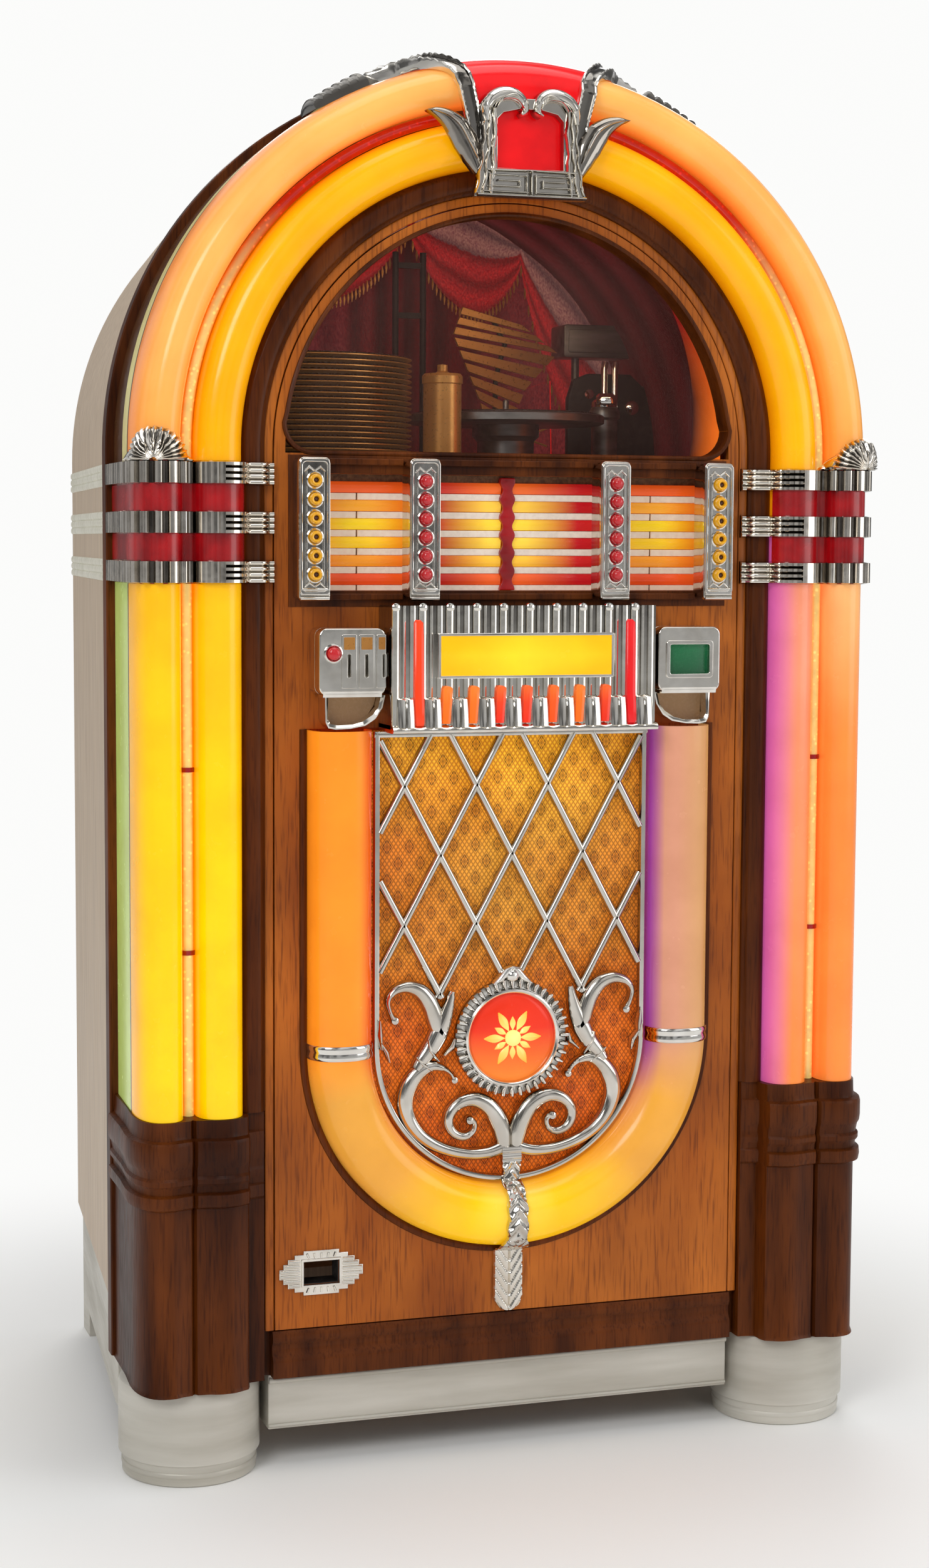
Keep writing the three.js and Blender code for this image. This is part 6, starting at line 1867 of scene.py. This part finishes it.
def make_turntable():
    deck = turned([(0, 1150), (114, 1150), (118, 1152), (118, 1160), (116, 1161.6), (113, 1162),
                   (110, 1161.2), (20, 1161.2), (18, 1162), (3.6, 1162.4), (3.6, 1178), (2.4, 1180),
                   (0, 1180)], 72, *PLATTER_AT)
    mat = turned([(19, 1161.2), (109, 1161.2), (109, 1163.4), (106, 1164), (100, 1163.2), (60, 1163.2),
                  (56, 1164), (52, 1163.2), (22, 1163.2), (19, 1164)], 72, *PLATTER_AT)
    piece("turntable", deck, "steel", "platter", "black_disc", ("platter",))
    piece("turntable_mat", mat, "vinyl", "platter", "black_disc")
    angle = math.radians(250)
    ahead = Vector((math.cos(angle), math.sin(angle), 0))
    pivot = Vector((*ARM_AT, 1180.5))
    hub = turned([(0, 1176), (16, 1176), (16, 1182), (13, 1185), (5, 1185), (0, 1185)], 32, *ARM_AT)
    rod = tube([tuple(pivot + ahead * d) for d in (0, 40, 90, 140, 150)], [4.4, 4.4, 4, 3.6, 3.4], 16)
    side = Vector((-ahead.y, ahead.x, 0))
    rings = []
    for d, half, low, high in ((138, 6, 1177, 1184), (144, 10, 1173, 1185), (166, 11.5, 1170.5, 1184),
                               (173, 9, 1171, 1181), (175, 6, 1172, 1178)):
        centre = pivot + ahead * d
        rings.append([tuple((centre + side * s * half).xy) + (z,) for s, z in
                      ((-1, low + 1), (-0.85, low), (0.85, low), (1, low + 1), (1, high - 3), (0.7, high),
                       (-0.7, high), (-1, high - 3))])
    piece("tone_arm", joined(hub, rod, skin(rings)), "chrome", "pickup_arm", "steel", ("pickup_arm",))


LAMP_RADIUS, LAMP_Y = 286, 60


def make_glow():
    rings = []
    for i in range(41):
        rear = 190 - 110 * i / 40
        rings.append([on_arch(r, y, 98 - 50 * i / 40) for r, y in
                      ((272, 34.2), (273, 60), (276, rear), (279, rear), (276, 60), (275, 34.2))])
    piece("side_light", skin(rings), "glow", slot="amber_plastic",
          tint=lambda x, y, z: mix(mix(srgb(255, 120, 30), srgb(150, 8, 8), (z - 1140) / 120),
                                   (0.02, 0.002, 0.002), (y - 50) / 90))
    lamp = tube([on_arch(LAMP_RADIUS, LAMP_Y, 50 - 5 * i) for i in range(21)], 8, 14)
    piece("dome_lamp", lamp, "lamp", slot="bubble_glass")
    holders = [tube([on_arch(LAMP_RADIUS, y, angle) for y in (34.2, LAMP_Y)], 5, 12) for angle in (48, 0,
                                                                                                   -48)]
    piece("lamp_holders", joined(*holders), "black", slot="steel")


def make_lining():
    """Pressed red lining of the dome, folded like a curtain, along the cabinet's sides and top."""
    line = [(333 + 0.8 * math.sin(y / 13), y) for y in range(150, 545, 8)]
    back = [(r + 2.4, y) for r, y in line[::-1]]
    stations = (straight(-1, 950, ARCH_Z, 4)[:-1] + arc_stations(ARCH_Z, 180, 0, 60)
                + straight(1, ARCH_Z, 950, 4)[1:])

    # Painted shade in the back of each fold, and a paler painted glow towards the top, near the lamp.
    def tint(x, y, z):
        share = 0.5 - 0.5 * math.sin(y / 13)
        low, high = (0.12, 0.2, 0.2), (0.22, 0.35, 0.35)
        return mix(low, mix(high, (0.4, 1.4, 1.3), (z - 1260) / 150), share)

    piece("dome_lining", sweep(line + back, stations), "curtain", slot="red_plastic", tint=tint, weld=False)


make_lining()
make_stack()
make_mechanism()
make_turntable()
make_glow()


# Rear door, amplifier and cash box
VENT_PITCH, FIRST_VENT_Z, VENT_COUNT = 26, 300, 6


def make_rear_door():
    vents = [FIRST_VENT_Z + VENT_PITCH * k for k in range(VENT_COUNT)]
    panel = plate([arch_outline(334.5, 215)] + [rectangle(-110, 110, z, z + 8, 3.5) for z in vents], 578, 590,
                  1.0)
    piece("rear_panel", panel, "board", "rear_door", "back_board", ("rear_door",))
    louvres = [drawn(((578.6, z), (580, z), (589.4, z + 6), (589.4, z + 7.4), (588, z + 7.4)), -108, 108)
               for z in vents]
    piece("rear_louvres", joined(*louvres), "black", "rear_door", "back_board", weld=False)
    places = ((-322, 235), (322, 235), (-322, 480), (322, 480), (-322, 740), (322, 740), (-322, 1000),
              (322, 1000), (-250, 1310), (250, 1310), (0, 1428))
    screws = [turned_y([(0, 588), (6, 588), (6, 589.3), (4, 590), (0, 590)], 20, x, z) for x, z in places]
    piece("rear_screws", joined(*screws), "steel", "rear_door", "steel", weld=False)


def make_amplifier():
    x0, x1, y0, y1, z0, z1 = -5.0, 225.0, 335.0, 505.0, 181.3, 261.3
    chassis = slab([rectangle(x0, x1, y0, y1, 4)], z0, z1, 1.5)
    vents = [block(x, x + 6, y1 - 1, y1 - 0.2, z0 + 16, z1 - 16)
             for x in (x0 + 14 + 12 * k for k in range(17))]
    piece("amplifier_chassis", joined(chassis, *vents), "steel", slot="steel", stands_for=("amplifier",))
    glass, bases = [], []
    for k in range(4):
        x = 110 + 230 * ((k + 1) / 5 - 0.5)
        bases.append(turned([(0, z1), (17, z1), (17, z1 + 9), (15, z1 + 11), (0, z1 + 11)], 28, x, 420))
        glass.append(turned([(12, z1 + 10), (14.5, z1 + 14), (16.4, z1 + 26), (16.4, z1 + 46), (14, z1 + 58),
                             (8, z1 + 66), (3, z1 + 68), (2, z1 + 70), (0, z1 + 70)], 28, x, 420))
    piece("valve_sockets", joined(*bases), "black", slot="steel", weld=False)
    piece("valve_glasses", joined(*glass), "tube", slot="bubble_glass", weld=False,
          tint=lambda x, y, z: mix(srgb(250, 150, 60), srgb(150, 140, 130), (z - 275) / 40))
    cores = [slab([rectangle(x - 24, x + 24, 352, 392, 3)], z1, z1 + 46, 2) for x in (30, 190)]
    piece("amplifier_transformers", joined(*cores), "black", slot="steel", weld=False)


def make_cash_box():
    outer = rectangle(-275, -125, 205, 375, 5)
    inner = rectangle(-272, -128, 208, 372, 3)
    walls = slab([outer, inner], 181.3, 271.3, 0.6)
    floor = slab([inner], 181.3, 184.3)
    hasp = [block(-212, -188, 202.6, 205.4, 246, 268), block(-205, -195, 200, 203, 250, 258)]
    piece("coin_bin", joined(walls, floor, *hasp), "steel", slot="steel", stands_for=("cash_box",),
          weld=False)


make_rear_door()
make_amplifier()
make_cash_box()


# Studio
FADE_START, FADE_END = 0.4, 1.25
LIGHTS = (
    ("key", (-2.6, -3.2, 2.9), 1.6, 60), ("fill", (3.0, -2.4, 1.6), 2.2, 28),
    ("top", (0.2, -0.6, 3.6), 2.0, 26), ("rear", (1.2, 3.4, 2.2), 2.0, 34),
)
LIGHTS_AIM = Vector((0, 0, 0.8))


def make_floor():
    """A pale floor that fades into the backdrop a step away from the object."""
    mesh = bpy.data.meshes.new("floor")
    mesh.from_pydata([(-40, -40, 0), (40, -40, 0), (40, 40, 0), (-40, 40, 0)], [], [(0, 1, 2, 3)])
    paint = bpy.data.materials.new("floor_paint")
    paint.use_nodes = True
    tree = paint.node_tree
    shader = tree.nodes["Principled BSDF"]
    fill(tree, shader, {"Base Color": (0.93, 0.93, 0.92, 1), "Roughness": 0.75})
    reach = add(tree, "VectorMath", {0: add(tree, "TexCoord").outputs["Object"]}, operation="LENGTH")
    fade = spread(tree, reach.outputs["Value"], FADE_START, FADE_END, 0, 1, interpolation_type="SMOOTHSTEP")
    seen = add(tree, "LightPath").outputs["Is Camera Ray"]
    share = add(tree, "Math", {0: fade, 1: seen}, operation="MULTIPLY").outputs[0]
    far = add(tree, "Emission", {"Color": BACKDROP}).outputs[0]
    blend = add(tree, "MixShader", {0: share, 1: shader.outputs[0], 2: far}).outputs[0]
    fill(tree, tree.nodes["Material Output"], {"Surface": blend})
    mesh.materials.append(paint)
    linked("floor", mesh)


def make_world():
    """A soft sky with bright and dark patches for the metal to mirror; the camera sees the backdrop."""
    world = bpy.data.worlds.new("studio")
    world.use_nodes = True
    bpy.context.scene.world = world
    tree = world.node_tree
    place = add(tree, "TexCoord").outputs["Generated"]
    height = add(tree, "SeparateXYZ", {0: place}).outputs["Z"]
    sky = ramp(tree, spread(tree, height, -1, 1, 0, 1), (0.3, (0.12, 0.12, 0.12)), (0.5, (0.45, 0.45, 0.46)),
               (0.75, WHITE))
    clouds = spread(tree, noise(tree, place, 3.2, 1), 0.4, 0.6, 0.3, 1.5, interpolation_type="SMOOTHSTEP")
    patches = add(tree, "VectorMath", {0: sky, "Scale": clouds}, operation="SCALE").outputs[0]
    background = tree.nodes["Background"]
    fill(tree, background, {"Color": patches, "Strength": 0.55})
    seen = add(tree, "Background", {"Color": BACKDROP}).outputs[0]
    sight = add(tree, "LightPath").outputs["Is Camera Ray"]
    blend = add(tree, "MixShader", {0: sight, 1: background.outputs[0], 2: seen}).outputs[0]
    fill(tree, tree.nodes["World Output"], {"Surface": blend})


def make_lights():
    for name, place, size, power in LIGHTS:
        data = bpy.data.lights.new(name, "AREA")
        data.size = size
        data.energy = power
        lamp = linked(name, data)
        lamp.location = place
        lamp.rotation_euler = (LIGHTS_AIM - Vector(place)).to_track_quat("-Z", "Y").to_euler()


make_floor()
make_world()
make_lights()
bpy.context.scene.view_settings.view_transform = "Standard"
